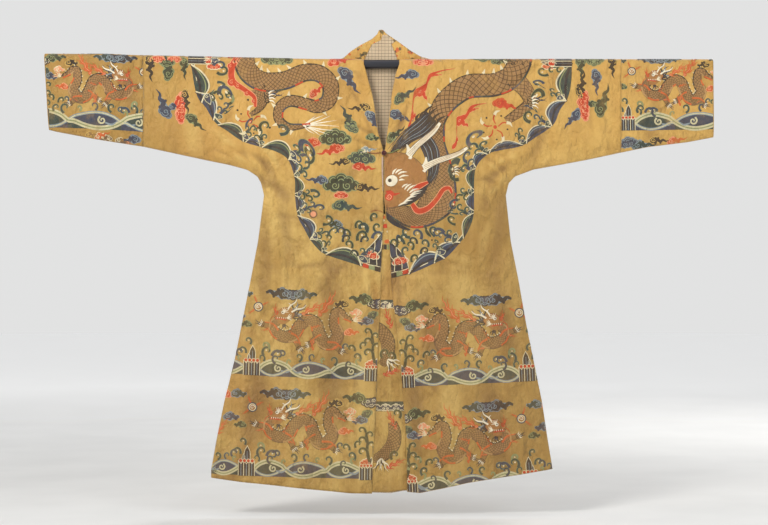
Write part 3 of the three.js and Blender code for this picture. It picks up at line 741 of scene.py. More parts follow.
def flame(pen, r, tint="coral", light="rose"):
    """Wavering tongues of fire that rise along +y."""
    main = [(0, 0, 0.05), (0.05, 0.12, 0.1), (0.01, 0.28, 0.105), (0.06, 0.44, 0.085),
            (0.02, 0.6, 0.065), (0.08, 0.74, 0.045), (0.07, 0.86, 0.03), (0.17, 1.0, 0.004)]
    tongues = [
        [(0.03, 0.04, 0.07), (0.13, 0.1, 0.055), (0.17, 0.2, 0.035), (0.27, 0.26, 0.004)],
        [(0.02, 0.14, 0.07), (-0.07, 0.24, 0.055), (-0.08, 0.34, 0.03), (-0.15, 0.42, 0.004)],
        [(0.03, 0.26, 0.07), (0.13, 0.36, 0.055), (0.14, 0.47, 0.035), (0.24, 0.56, 0.004)],
        [(0.03, 0.46, 0.055), (-0.05, 0.56, 0.04), (-0.04, 0.66, 0.025), (-0.1, 0.75, 0.004)],
        [(0.04, 0.54, 0.05), (0.13, 0.63, 0.038), (0.15, 0.72, 0.025), (0.25, 0.82, 0.004)],
    ]
    for rows in [main, *tongues]:
        pen.ribbon(grown(rows, r), tint, 3)
    pen.ribbon([(x * r, y * r, 0.16 * w * r) for x, y, w in main[1:7]], light, 4)
    pen.disc(0.02 * r, 0.03 * r, 0.07 * r, tint, 3)
    pen.spiral(0.02 * r, 0.03 * r, 0.05 * r, light, 4, 0.018 * r, 1.2, 250)


def pearl(pen, r):
    for size, tint in ((1, "slate"), (0.78, "cream"), (0.6, "tan")):
        pen.disc(0, 0, size * r, tint, 3 + int(size < 0.9) + int(size < 0.7))
    pen.spiral(0, 0, 0.5 * r, "white", 6, 0.14 * r, 1.2)
    for turn in (24, -60, 130):
        flame(pen.moved(0, 0, turn).moved(0, r), 1.7 * r, "ember", "coral")


def crest(pen, start, end, rise, fill, inner, lean):
    """A lens-shaped wave with a cream lip and finer lines inside it, on the x axis."""
    t = np.linspace(0, 1, 9)
    up = np.sin(math.pi * t) ** 0.8 * rise
    xs = start + (end - start) * t + lean * up
    floor = [(x, 0) for x in xs]
    lip = [(x, y) for x, y in zip(xs, up)]
    pen.between(floor, lip, fill, 1)
    edge = max(0.1 * rise, 2.4 / pen.size)
    for share, tint, width in ((0.36, "navy", 1.6), (0.76, inner, 0.75)):
        pen.ribbon([(x, share * y, edge * width) for x, y in lip], tint, 2)
    pen.ribbon([(x, y, edge) for x, y in lip], "cream", 3)


def eye_wave(pen, x, y, r, fill, way, turn):
    """An almond of water with a curling eye."""
    at = pen.moved(x, y, turn, 1, way < 0)
    low = [(-1.3, 0), (-0.5, -0.55), (0.5, -0.5), (1.2, 0.1)]
    high = [(-1.3, 0), (-0.5, 0.5), (0.5, 0.62), (1.2, 0.1)]
    scaled = [grown(rows, r) for rows in (low, high)]
    at.between(*scaled, fill, 3)
    for rows in scaled:
        at.ribbon([(u, v, 0.13 * r) for u, v in rows], "foam", 4)
    at.spiral(0.34 * r, -0.02 * r, 0.34 * r, "foam", 5, 0.15 * r, 1.2, 120)


SWELLS = [0.9, 1.12, 0.94, 1.04]  # uneven lengths


def waves(pen, length, height):
    """A stretch of sea along the foot of a band: two pale swells that cross and part."""
    count = max(2, round(length / (2.1 * height)))
    ends = np.concatenate([[0], np.cumsum([SWELLS[k % 4] for k in range(count)])])
    ends *= length / ends[-1]
    middle, swell = 0.46 * height, 0.4 * height

    def level(k, t, way):
        return middle + 0.1 * height * (t - 0.5) + way * (-1) ** k * swell * math.sin(math.pi * t**0.84)

    lines = {1: [], -1: []}
    for k in range(count):
        t = np.linspace(0, 1, 9)
        xs = ends[k] + t * (ends[k + 1] - ends[k])
        rows = {way: [(x, level(k, u, way)) for x, u in zip(xs, t)] for way in (1, -1)}
        low = rows[-1] if k % 2 == 0 else rows[1]
        pen.between([(x, 0) for x in xs], low, ("slate", "teal")[k % 2], 1)
        pen.between(rows[-1], rows[1], ("teal", "slate")[k % 2], 1)
        at = ends[k] + (0.6 - 0.24 * (k % 2)) * (ends[k + 1] - ends[k])
        eye = pen.moved(at, middle, 0, 1, k % 2)
        eye.spiral(0, 0, 0.22 * height, "foam", 4, 0.1 * height, 1.3, 120)
        eye.ribbon(grown([(0.16, -0.12, 0.08), (0.5, -0.2, 0.1), (0.8, 0, 0.02)], height), "sky", 3)
        for way in (1, -1):
            lines[way] += rows[way][:-1] if k < count - 1 else rows[way]
    for way in (-1, 1):
        pen.ribbon([(x, y, (0.2 + 0.05 * way) * height) for x, y in lines[way]], ("sky", "foam")[way > 0], 2)
        pen.ribbon([(x, y, 0.06 * height) for x, y in lines[way]], ("foam", "leaf")[way > 0], 3)
    for k in range(3 * count):
        size = height * (0.2 + 0.06 * math.sin(2.3 * k))
        root = pen.moved((k + 0.4) * length / (3 * count), (0.84 + 0.12 * math.sin(5.1 * k)) * height,
                         30 * math.sin(1.7 * k), 1, k % 3 == 0)
        curl(root, size, ("teal", "slate", "leaf")[k % 3], ball="foam" if k % 2 else None)


CLIFFS = [(-0.3, 0.62, "navy"), (0.3, 0.66, "slate"), (0.02, 1.0, "slate"), (-0.14, 0.8, "navy")]


def rocks(pen, width, height, lean, rise, pillars=CLIFFS):
    """Striped rocks, with pointed pillars behind them and small red scrolls on top."""
    for k, (at, share, tint) in enumerate(pillars):
        tall = height * (1 + (rise - 1) * share)
        x, half = at * width, 0.16 * width
        tip = x + lean * width * share
        for grow, colour, layer in ((1.8, "cream", 2 + k), (0, tint, 3 + k)):
            left = [(x - half - grow, 0.8 * height), (x - half - grow + 0.5 * (tip - x), 0.8 * tall),
                    (tip, tall + 2 * grow)]
            right = [(x + half + grow, 0.8 * height), (x + half + grow + 0.5 * (tip - x), 0.8 * tall),
                     (tip + 0.5, tall + 2 * grow)]
            pen.between(left, right, colour, layer)
        pen.ribbon([(x, 0.8 * height, 2), ((x + tip) / 2, 0.84 * tall, 1.4)], "sky", 4 + k)
    pen.between([(-0.5 * width, 0), (0.5 * width, 0)],
                [(-0.5 * width, 0.86 * height), (0.5 * width, 0.86 * height)], "navy", 7)
    count = max(4, round(width / 8))
    for k in range(count + 1):
        x = (k / count - 0.5) * width
        top = height * (0.98 - 0.2 * (k % 2))
        pen.ribbon([(x, 0.5, 2.0), (x, top, 2.0)], ("cream", "sky")[k % 2], 8)
        if k < count:
            pen.ribbon([(x, top, 1.8), (x + width / count, height * (0.78 + 0.2 * (k % 2)), 1.8)],
                       "cream", 8)
    for x in (-0.36, -0.12, 0.12, 0.36):
        pen.disc(x * width, 0.98 * height, 0.1 * width + 1.4, "cream", 8)
        pen.disc(x * width, 0.98 * height, 0.1 * width, "coral", 9)


def cliff(pen, tall=104):
    """Dark rocks that climb to a point at +x, with a red cloud before them and blocks below."""
    left = [(-27, 18), (-22, 48), (-8, 66), (8, 86), (25, tall)]
    right = [(27, 6), (27, 34), (27, 58), (27, 82), (27, tall)]
    pen.between(left, right, "navy", 1)
    pen.between([(-24, 20), (-20, 46), (-6, 62)], [(-8, 20), (-6, 44), (0, 58)], "slate", 2)
    pen.between([(4, 58), (10, 78), (22, 92)], [(20, 50), (22, 74), (25, 90)], "slate", 2)
    for line in (left, [(-8, 16), (-8, 40), (4, 58), (4, 84)], [(14, 12), (12, 40), (22, 56), (24, 84)],
                 [(-27, 18), (-6, 12), (14, 10), (27, 6)]):
        pen.ribbon([(x, y, 2.2) for x, y in line], "cream", 3)
    for x, y, tint in ((-26, 4, "coral"), (-8, 0, "leaf"), (9, -4, "dark")):
        pen.between([(x, y), (x + 17, y - 3)], [(x, y + 13), (x + 17, y + 11)], tint, 3)
    ruyi(pen.moved(-4, 40, -8), 17, "coral", "rose", "cream")


def strokes(pen, rows, width, tint, layer, bow=0.12):
    """Single tapering strokes, each from its root to its tip."""
    for x, y, u, v in rows:
        reach = math.hypot(u - x, v - y)
        at = pen.moved(x, y, math.degrees(math.atan2(v - y, u - x)))
        at.ribbon([(0, 0, 0.5 * width), (0.45 * reach, bow * reach, width), (reach, 0, 0.06 * width)],
                  tint, layer)


STITCH_EVERY, STITCH_LONG, STITCH_WIDE = 7.0, 3.4, 0.9


def stitches(pen, line):
    """A running stitch along a line."""
    run = pen.bent([(x, y, 0) for x, y in line])
    for k in range(int(run.length / STITCH_EVERY)):
        start = k * STITCH_EVERY
        run.ribbon([(start, 0, STITCH_WIDE), (start + STITCH_LONG, 0, STITCH_WIDE)], "gold", 0)


def scales(pen, line, side, width, spacing, tint, layer):
    """A lattice of fine lines over a body."""
    run = run_of(line)
    columns = [*line[:, :2].T, *side.T, line[:, 2]]
    for way in (-1, 1):
        for start in np.arange(-60, run[-1], spacing):
            t = np.linspace(-0.5, 0.5, 9)
            reach = np.interp(start, run, line[:, 2])
            along = start + (t + 0.5) * reach * 0.95
            if along[0] > run[-1] or along[-1] < 0:
                continue
            keep = (along >= 0) & (along <= run[-1])
            if keep.sum() < 3:
                continue
            x, y, nx, ny, wide = (np.interp(along[keep], run, c) for c in columns)
            off = way * t[keep] * wide * 0.94
            rows = np.stack([x + nx * off, y + ny * off, np.full(keep.sum(), width)], 1)
            pen.ribbon(rows[[0, *range(2, len(rows) - 1, 2), len(rows) - 1]], tint, layer)


def body(pen, rows, back=1, spacing=16, belly=True, spines=38, net=2.0,
         plates=("coral", "navy", "teal", "slate")):
    """A scaled body along rows of x, y, width. back is the side its ridge is on, and net the
    width of its lattice's lines."""
    line = smooth(rows, STEP / pen.size)
    side = sides_of(line)
    pen.ribbon(widened(rows, 3 / pen.size), "dark", 1)
    pen.ribbon(rows, "scale", 2)
    scales(pen, line, side, net / pen.size, spacing / pen.size, "umber", 3)
    run = run_of(line)
    columns = [*line[:, :2].T, *side.T, line[:, 2]]
    dash, thick = 13 / pen.size, 3.4 / pen.size

    def edge(starts, length, way, tints, out=0.5, width=thick):
        for k, start in enumerate(starts):
            along = np.array([start, start + length / 2, start + length])
            x, y, nx, ny, wide = (np.interp(along, run, c) for c in columns)
            off = way * wide * out
            rows = np.stack([x + nx * off, y + ny * off, np.full(3, width)], 1)
            pen.ribbon(rows, tints[k % len(tints)], 4)

    edge(np.arange(0, run[-1] - dash, dash), 0.72 * dash, back, ("dark",))
    if belly:
        edge(np.arange(0, run[-1] - dash, 1.9 * dash), 1.9 * dash, -back, plates, 0.47, 1.3 * thick)
    if spines:
        gap = spines / pen.size
        for start in np.arange(0.4 * gap, run[-1] - gap, gap):
            x, y, nx, ny, wide = (float(np.interp(start, run, c)) for c in columns)
            root = np.array([x + back * nx * wide * 0.52, y + back * ny * wide * 0.52])
            tip = root + np.array([back * nx - ny * 0.35, back * ny + nx * 0.35]) * 0.36 * gap
            half = (root + tip) / 2
            pen.ribbon([(*root, 0.26 * gap), (*half, 0.15 * gap), (*tip, 0.02 * gap)], "cream", 4)


def strands(pen, count, length, spread, tints, width, wave=0.08, layer=3):
    """Locks of hair that fan out towards +x."""
    for k in range(count):
        turn = spread * (k / max(1, count - 1) - 0.5)
        at = pen.moved(0, 0, turn)
        reach = length * (1 - 0.22 * abs(math.sin(2.4 * k + 0.5)))
        sway = wave * reach * (1 if k % 2 else -1)
        at.ribbon([(0, 0, width), (0.3 * reach, sway, width), (0.62 * reach, -sway, 0.8 * width),
                   (reach, 0.4 * sway, 0.1 * width)], tints[k % len(tints)], layer)


def foot(pen, r):
    """A clawed foot: knuckles, claws towards +x, and hair behind them."""
    strands(pen.moved(0.4 * r, 0.1 * r, 12), 4, 2.4 * r, 34, ("dark", "slate"), 0.16 * r, 0.1, 2)
    for y, size in ((0.5, 0.42), (-0.55, 0.42), (0, 0.5)):
        pen.disc(0, y * r, size * r, "dark", 3)
        pen.spiral(0, y * r, 0.3 * r, "lattice", 4, 0.1 * r, 1.2)
    for k in range(4):
        at = pen.moved(0.3 * r, (0.5 - 0.34 * k) * r, 24 - 18 * k)
        at.ribbon([(0, 0, 0.24 * r), (0.5 * r, 0.12 * r, 0.18 * r), (1.0 * r, -0.08 * r, 0.02 * r)],
                  "white", 5)


def wheel(pen, r):
    """Claws spread like a pinwheel."""
    pen.disc(0, 0, 0.12 * r, "coral", 4)
    for k in range(5):
        at = pen.moved(0, 0, 72 * k)
        at.ribbon([(0.2 * r, 0, 0.05 * r), (0.5 * r, 0.16 * r, 0.08 * r), (0.78 * r, 0.1 * r, 0.06 * r)],
                  "coral", 3)
        at.ribbon([(0.74 * r, 0.12 * r, 0.2 * r), (0.95 * r, 0.02 * r, 0.16 * r),
                   (1.04 * r, -0.22 * r, 0.02 * r)], "cream", 4)
        at.disc(0.72 * r, -0.3 * r, 0.06 * r, "dark", 3)


def horn(pen, r):
    pen.ribbon([(0, 0, 0.11 * r), (0.34 * r, 0.06 * r, 0.1 * r), (0.72 * r, 0, 0.08 * r),
                (1.0 * r, 0.1 * r, 0.03 * r)], "white", 6)
    pen.ribbon([(0.3 * r, 0.04 * r, 0.07 * r), (0.38 * r, 0.16 * r, 0.06 * r),
                (0.34 * r, 0.28 * r, 0.02 * r)], "white", 6)


def head(pen, r):
    """A dragon's head in profile, facing -x, with its crown at the origin's upper right."""
    strands(pen.moved(0.34 * r, 0.1 * r, 24), 9, 1.5 * r, 104, ("navy", "slate", "navy", "sky"),
            0.13 * r, 0.1, 2)
    top = [(-1.02, 0.02), (-0.96, 0.3), (-0.66, 0.34), (-0.4, 0.56), (0.02, 0.66), (0.4, 0.5),
           (0.6, 0.14)]
    low = [(-1.02, 0.02), (-0.8, -0.14), (-0.52, -0.12), (-0.22, -0.2), (0.08, -0.34),
           (0.36, -0.24), (0.6, 0.14)]
    scaled = [grown(rows, r) for rows in (top, low)]
    for rows in scaled:
        pen.ribbon([(u, v, 0.07 * r) for u, v in rows], "blood", 4)
    pen.between(*scaled, "tan", 5)
    jaw = [[(-0.78, -0.5), (-0.5, -0.36), (-0.16, -0.38), (0.2, -0.3)],
           [(-0.78, -0.5), (-0.52, -0.66), (-0.1, -0.64), (0.26, -0.34)]]
    pen.between(*[grown(rows, r) for rows in jaw], "tan", 5)
    pen.ribbon([(-0.86 * r, -0.3 * r, 0.05 * r), (-0.5 * r, -0.26 * r, 0.12 * r),
                (-0.1 * r, -0.32 * r, 0.1 * r), (0.2 * r, -0.26 * r, 0.04 * r)], "coral", 4)
    for k in range(5):
        x = -0.74 + 0.17 * k
        pen.ribbon([(x * r, -0.13 * r, 0.07 * r), ((x - 0.03) * r, -0.28 * r, 0.01 * r)], "white", 6)
    pen.disc(-0.3 * r, 0.26 * r, 0.165 * r, "dark", 6)
    pen.disc(-0.3 * r, 0.26 * r, 0.145 * r, "white", 7)
    pen.disc(-0.33 * r, 0.26 * r, 0.06 * r, "dark", 8)
    lashes = pen.moved(-0.24 * r, 0.32 * r, 52)
    strands(lashes, 5, 0.46 * r, 120, ("white",), 0.06 * r, 0.03, 7)
    strands(pen.moved(0.02 * r, -0.16 * r, 12), 7, 0.5 * r, 84, ("white", "cream"), 0.06 * r, 0.04, 7)
    strands(pen.moved(-0.2 * r, -0.62 * r, -80), 5, 0.6 * r, 70, ("navy", "slate"), 0.08 * r, 0.1, 3)
    pen.spiral(-0.84 * r, 0.24 * r, 0.17 * r, "coral", 6, 0.09 * r, 1.3, 250)
    flame(pen.moved(-0.92 * r, 0.3 * r, 30), 0.5 * r)
    pen.ribbon([(-0.8 * r, 0.04 * r, 0.05 * r), (-1.2 * r, -0.2 * r, 0.05 * r),
                (-1.3 * r, -0.62 * r, 0.04 * r), (-1.1 * r, -0.9 * r, 0.01 * r)], "coral", 4)
    horn(pen.moved(0.06 * r, 0.5 * r, 46), 1.15 * r)
    horn(pen.moved(0.36 * r, 0.3 * r, 22), 1.3 * r)


# ---------------------------------------------------------------------------------------------
# The pattern's layout. Places are in millimetres over the flat cloth

YOKE_EDGE = {
    LEFT: [(-541, 24), (-536, -26), (-522, -97), (-497, -131), (-469, -174), (-434, -198),
           (-392, -225), (-343, -240), (-294, -254), (-263, -274), (-248, -308), (-242, -340),
           (-242, -377), (-238, -416), (-231, -445), (-217, -470), (-201, -499), (-180, -525),
           (-157, -543), (-100, -562), (-60, -574), (0, -592)],
    RIGHT: [(37, -610), (91, -596), (162, -565), (194, -547), (228, -509), (248, -482),
            (265, -439), (268, -396), (269, -320), (279, -285), (308, -257), (339, -247),
            (402, -234), (445, -208), (493, -174), (513, -131), (535, -97), (545, -49), (547, 24)],
}
CLOUDS = {  # kind, x, h, size, turn, mirrored, tint, light
    LEFT: [
        ("ruyi", -294, 14, 30, 0, 0, "green", "leaf"), ("drift", -131, 8, 19, 16, 0, "coral", "rose"),
        ("drift", -100, -26, 21, -54, 0, "slate", "sky"), ("drift", -40, -123, 15, 4, 1, "dark", "gold"),
        ("drift", -26, -148, 17, -56, 0, "slate", "sky"), ("drift", -80, -180, 20, 118, 0, "teal", "leaf"),
        ("ruyi", -128, -212, 31, 0, 0, "green", "leaf"), ("drift", -185, -224, 16, 6, 1, "coral", "rose"),
        ("drift", -120, -240, 18, 16, 1, "coral", "rose"), ("drift", -28, -208, 12, -8, 0, "green", "leaf"),
        ("drift", -46, -245, 11, 6, 0, "sky", "cream"), ("ruyi", -54, -268, 27, 0, 0, "teal", "leaf"),
        ("drift", -97, -277, 14, 10, 1, "dark", "gold"), ("drift", -63, -291, 15, -8, 0, "coral", "rose"),
        ("ruyi", -111, -343, 35, 0, 0, "green", "leaf"), ("drift", -162, -332, 15, -4, 1, "slate", "sky"),
        ("drift", -57, -351, 16, -4, 0, "dark", "gold"), ("ruyi", -111, -374, 13, 0, 0, "coral", "rose"),
        ("drift", -117, -403, 19, -6, 0, "teal", "leaf"), ("drift", -120, -457, 13, 0, 1, "green", "sky"),
        ("drift", -656, 0, 18, -84, 0, "dark", "gold"), ("ruyi", -634, 4, 15, 0, 0, "coral", "rose"),
        ("ruyi", -586, 5, 14, 0, 0, "coral", "rose"), ("ruyi", -607, -7, 15, 180, 0, "green", "leaf"),
        ("drift", -603, -38, 19, -84, 1, "green", "leaf"), ("drift", -559, -3, 15, -84, 0, "green", "leaf"),
        ("drift", -611, -147, 20, 112, 0, "slate", "sky"), ("drift", -593, -132, 11, 20, 0, "slate", "sky"),
        ("drift", -557, -97, 16, 100, 1, "dark", "gold"), ("ruyi", -567, -120, 21, 90, 0, "coral", "rose"),
        ("ruyi", -567, -151, 19, 84, 0, "coral", "rose"), ("drift", -539, -162, 16, -40, 0, "green", "leaf"),
    ],
    RIGHT: [
        ("ruyi", 123, 8, 19, 0, 0, "coral", "rose"), ("drift", 94, -29, 16, 10, 1, "slate", "sky"),
        ("drift", 54, -100, 17, 34, 0, "teal", "leaf"), ("drift", 40, -143, 17, -20, 0, "slate", "sky"),
        ("drift", 31, -211, 15, 40, 0, "green", "leaf"), ("drift", 333, 11, 16, 0, 0, "green", "leaf"),
        ("drift", 570, 11, 17, -82, 0, "green", "leaf"), ("ruyi", 610, 11, 19, 180, 0, "green", "leaf"),
        ("drift", 616, -32, 17, -86, 0, "slate", "sky"), ("drift", 661, 14, 16, -84, 0, "dark", "gold"),
        ("drift", 570, -80, 18, 80, 0, "dark", "gold"), ("ruyi", 581, -109, 22, 90, 0, "coral", "rose"),
        ("ruyi", 584, -134, 19, 90, 0, "coral", "rose"), ("drift", 627, -129, 22, 72, 0, "green", "leaf"),
        ("drift", 607, -114, 11, 170, 0, "green", "leaf"), ("drift", 561, -143, 16, -130, 0, "slate", "sky"),
    ],
}


CLOUD_GROWTH = 1.1  # the table's sizes were taken inside the outlines


def clouds(pen, rows):
    for kind, x, h, size, turn, mirrored, tint, light in rows:
        at = pen.moved(x, h, turn, CLOUD_GROWTH, mirrored)
        if kind == "ruyi":
            ruyi(at, size, tint, light, light)
        else:
            drift(at, size, tint, light)


def yoke_border(pen, edge, crests, hooks):
    """The sea along the yoke's edge. Crests are start, length, rise, tint and lean, and hooks of
    spray are start, height, turn, mirrored and size."""
    sea = pen.bent(edge)
    sea.ribbon([(x, 4, 8) for x in np.arange(0, sea.length, 30)], "teal", 0)
    sea.ribbon([(x, 9, 2.4) for x in np.arange(0, sea.length, 30)], "cream", 1)
    for k, (start, length, rise, tint, lean) in enumerate(crests):
        crest(sea, start, start + length, rise, tint, "leaf" if tint == "teal" else "sky", lean)
        way = 1 if k % 2 else -1
        eye_wave(sea, start + length, 0.52 * rise, 0.36 * rise, ("slate", "teal")[k % 2], way, 18 * way)
        spray(sea.moved(start + 0.94 * length, 0.7 * rise, 24 * way - 8, 1, k % 2), 12.5,
              ("green", "slate", "teal")[k % 3])
    for k, (start, height, turn, mirrored, size) in enumerate(hooks):
        curl(sea.moved(start, height, turn, 1, mirrored), size, ("slate", "green", "teal")[k % 3])


def mane(pen, curve, width, count):
    """Dark hair along a curve, with blue and pale locks that draw together towards its end."""
    along = pen.bent(curve)
    long, half = along.length, width / 2
    spread = [(0, half), (0.3 * long, 1.05 * half), (0.65 * long, 0.72 * half), (1.02 * long, 0.1 * half)]
    along.between([(x, -y) for x, y in spread], spread, "navy", 6)
    each = width / count
    for k in range(count):
        y = (k + 0.5) * each - half
        reach = long * (0.9 + 0.12 * math.cos(1.9 * k))
        rows = [(0, y, 0.4), (0.35 * reach, 1.08 * y + 1.5, 0.52), (0.7 * reach, 0.76 * y - 1.5, 0.42),
                (reach, 0.3 * y, 0.05)]
        tint = ("slate", "navy", "sky", "slate", "navy", "sky", "dark")[k % 7]
        along.ribbon([(a, b, w * each) for a, b, w in rows], tint, 7)
        along.ribbon([(-0.16 * long, 1.1 * y, 0.1 * each), (0, y, 0.5 * each),
                      (0.2 * long, y + 2, 0.2 * each)], "dark", 7)
        along.ribbon([(0.5 * reach, 0.9 * y - 2, 0.8 * each), (0.8 * reach, 0.8 * y, 0.5 * each),
                      (1.04 * reach, 0.7 * y + 3, 0.05 * each)], "navy", 6)


def yoke_left(pen):
    """The front's left: a dragon's tail, clouds, and the sea along the yoke's edge."""
    yoke_border(pen, YOKE_EDGE[LEFT], [
        (34, 114, 42, "teal", 0.1), (112, 96, 36, "slate", -0.1), (226, 86, 32, "teal", 0.2),
        (318, 44, 24, "slate", 0), (368, 84, 35, "teal", 0.2), (450, 46, 22, "slate", 0),
        (500, 50, 26, "teal", 0.2), (556, 46, 26, "slate", 0), (612, 78, 34, "slate", 0.2),
        (690, 50, 24, "teal", 0), (752, 106, 38, "teal", 0.1),
    ], [
        (44, 62, 24, 0, 18), (66, 70, -16, 1, 17), (96, 66, -40, 0, 17), (160, 54, 10, 0, 18),
        (190, 62, 26, 1, 16), (214, 40, -20, 1, 17), (300, 40, 16, 0, 17), (352, 44, 4, 0, 17),
        (404, 50, -30, 1, 16), (452, 46, 16, 0, 18), (478, 50, 30, 1, 16), (540, 44, -16, 0, 17),
        (598, 50, 12, 0, 16), (668, 54, -16, 1, 17), (716, 50, 20, 0, 17), (784, 62, 10, 1, 17),
        (828, 66, 0, 0, 18), (846, 96, 20, 1, 16), (866, 84, -24, 0, 17),
    ])
    tail = [(-390, 32, 58), (-386, -5, 58), (-369, -35, 57), (-331, -55, 54), (-271, -50, 50),
            (-215, -27, 48), (-171, -30, 47), (-142, -61, 46), (-147, -104, 42),
            (-177, -122, 36), (-205, -117, 33)]
    tip = [(-205, -117, 33), (-254, -108, 31), (-285, -127, 28), (-288, -161, 25),
           (-262, -181, 20), (-228, -180, 13), (-198, -174, 5)]
    leg = [(-351, -73, 46), (-336, -107, 30), (-345, -132, 16), (-369, -150, 9)]
    for k, reach in enumerate((46, 66, 84, 96, 102, 94, 78, 58, 40)):
        ray = pen.moved(-219, -177, 38 - 9.5 * k)
        bow = 2 * math.sin(2.1 * k)
        ray.ribbon([(0, 0, 3.4), (0.5 * reach, bow, 3.2), (reach, -bow, 0.4)], "white", 3)
    body(pen, tip, -1, spacing=12, net=1.5)
    body(pen, leg, 1, spacing=12, belly=False, spines=0, net=1.5)
    body(pen, tail, 1, spacing=13, net=1.6)
    foot(pen.moved(-322, -98, 6), 19)
    ribbon = [(-402, 23, 15), (-422, -17, 17), (-419, -54, 15), (-385, -79, 12),
              (-359, -99, 10), (-355, -127, 6)]
    pen.ribbon(widened(ribbon, 4), "rose", 4)
    pen.ribbon(ribbon, "coral", 5)
    for x, h, r in ((-426, -12, 8), (-423, -57, 11), (-405, -68, 8), (-379, -88, 7), (-359, -110, 6)):
        pen.disc(x, h, r + 2, "rose", 4)
        pen.disc(x, h, r, "coral", 5)
        pen.spiral(x, h, 0.6 * r, "rose", 6, 1.6, 1.1, 60)
    wheel(pen.moved(-369, -169, 20), 44)
    drift(pen.moved(-191, -87, 40), 14, "coral", "rose")
    for x, h in ((-462, -92), (-406, -137), (-314, -185), (-376, -107)):
        pen.disc(x, h, 3.2, "dark", 3)
    drop = pen.moved(-190, -429)
    drop.disc(0, 0, 12, "brown", 3)
    drop.disc(0, 0, 8, "rose", 4)
    clouds(pen, CLOUDS[LEFT])
    for x, h, turn, mirrored in ((-23, -448, 0, 0), (-40, -473, 30, 1), (-68, -468, -10, 0),
                                 (-86, -491, 20, 1), (-54, -508, -30, 0), (-80, -525, 10, 1),
                                 (-105, -508, -16, 0), (-11, -479, 20, 0), (-63, -548, 30, 1)):
        curl(pen.moved(x, h, turn, 1, mirrored), 13, ("navy", "green", "teal")[round(x) % 3])
    cliff(pen.moved(-24, -585, -4), 112)
    pen.ribbon([(7, -265, 4.4), (7, -308, 4.6), (9, -362, 3.4)], "lilac", 9)
    rocks(pen.moved(-541, FOLD_H, -90), 62, 56, 0, 1.7)
    ruyi(pen.moved(-473, -13, 0), 15, "coral", "rose", "cream")


def big_head(pen):
    """The large dragon's head, cut by the front edge."""
    mane(pen, [(148, -151), (117, -180), (77, -211), (31, -254)], 46, 15)
    mane(pen, [(125, -211), (145, -251), (151, -302), (134, -348)], 42, 11)
    strokes(pen, [(125, -154, 151, -117), (137, -166, 165, -123), (148, -171, 177, -137),
                  (114, -160, 131, -131), (160, -177, 188, -148), (103, -166, 114, -140)],
            7, "dark", 6, 0.16)
    inner = [(3, -257), (-3, -297), (-3, -337), (0, -376), (6, -411)]
    outer = [(11, -254), (63, -254), (105, -274), (131, -308), (128, -339),
             (100, -357), (88, -376), (71, -396), (40, -408), (6, -411)]
    pen.between(inner, outer, "tan", 8)
    pen.ribbon([(x, h, 2.2) for x, h in outer], "brown", 9)
    for x, h, r, turn in ((63, -365, 20, -60), (17, -348, 24, 200), (68, -297, 40, 20)):
        pen.arc(x, h, r, turn, turn + 130, "taupe", 9, 1.8)
    pen.between([(51, -405), (80, -388), (103, -368), (128, -341)],
                [(54, -408), (88, -399), (117, -379), (140, -345)], "navy", 10)
    ear = [(94, -359, 6), (111, -349, 13), (137, -337, 5)]
    pen.ribbon(widened(ear, 4), "rose", 10)
    pen.ribbon(ear, "coral", 11)
    strokes(pen, [(63, -352, 80, -342), (70, -358, 91, -341), (77, -362, 104, -344),
                  (84, -367, 111, -355), (86, -374, 121, -361), (80, -384, 117, -367),
                  (71, -391, 105, -376), (63, -398, 94, -388), (53, -404, 80, -396)],
            4.8, "white", 12, 0.1)
    strokes(pen, [(36, -315, 48, -298), (44, -312, 64, -300), (51, -315, 78, -308),
                  (55, -324, 82, -319), (54, -332, 71, -331)], 5.4, "white", 12)
    eye = pen.moved(33, -333, 28)
    for rx, ry, tint, layer in ((19.6, 17.4, "taupe", 11), (17.6, 15.4, "white", 12)):
        eye.disc(0, 0, rx, tint, layer, ry)
    pen.disc(28, -332, 5.6, "dark", 13)
    pen.ribbon([(17, -364, 5), (31, -365, 9), (40, -372, 8), (57, -368, 2)], "coral", 10)
    pen.disc(26, -378, 12, "coral", 10)
    pen.spiral(26, -378, 8.6, "rose", 11, 2.8, 1.4, 200)
    flame(pen.moved(28, -385, 176), 30)
    for root_at, tip, root in (((80, -262), (174, -171), 19), ((123, -297), (251, -243), 19)):
        (x, h), (u, v) = root_at, tip
        reach, turn = math.dist(root_at, tip), math.degrees(math.atan2(v - h, u - x))
        at = pen.moved(x, h, turn)
        rows = [(0, 0, root), (0.3 * reach, 3, 0.8 * root), (0.75 * reach, -1, 0.66 * root),
                (reach, 4, 0.4 * root)]
        at.ribbon(widened(rows, 3), "dark", 10)
        at.ribbon(rows, "white", 11)
        for y in (-0.2, 0.06, 0.3):
            at.ribbon([(4, y * root, 1.2), (0.5 * reach, y * 0.8 * root + 1, 1.2),
                       (0.92 * reach, y * 0.4 * root + 2, 1)], "lattice", 12)
        at.ribbon([(6, 4, 13), (14, 13, 10), (20, 26, 3)], "white", 11)
        at.ribbon([(0, -4, 12), (3, -12, 8)], "white", 11)


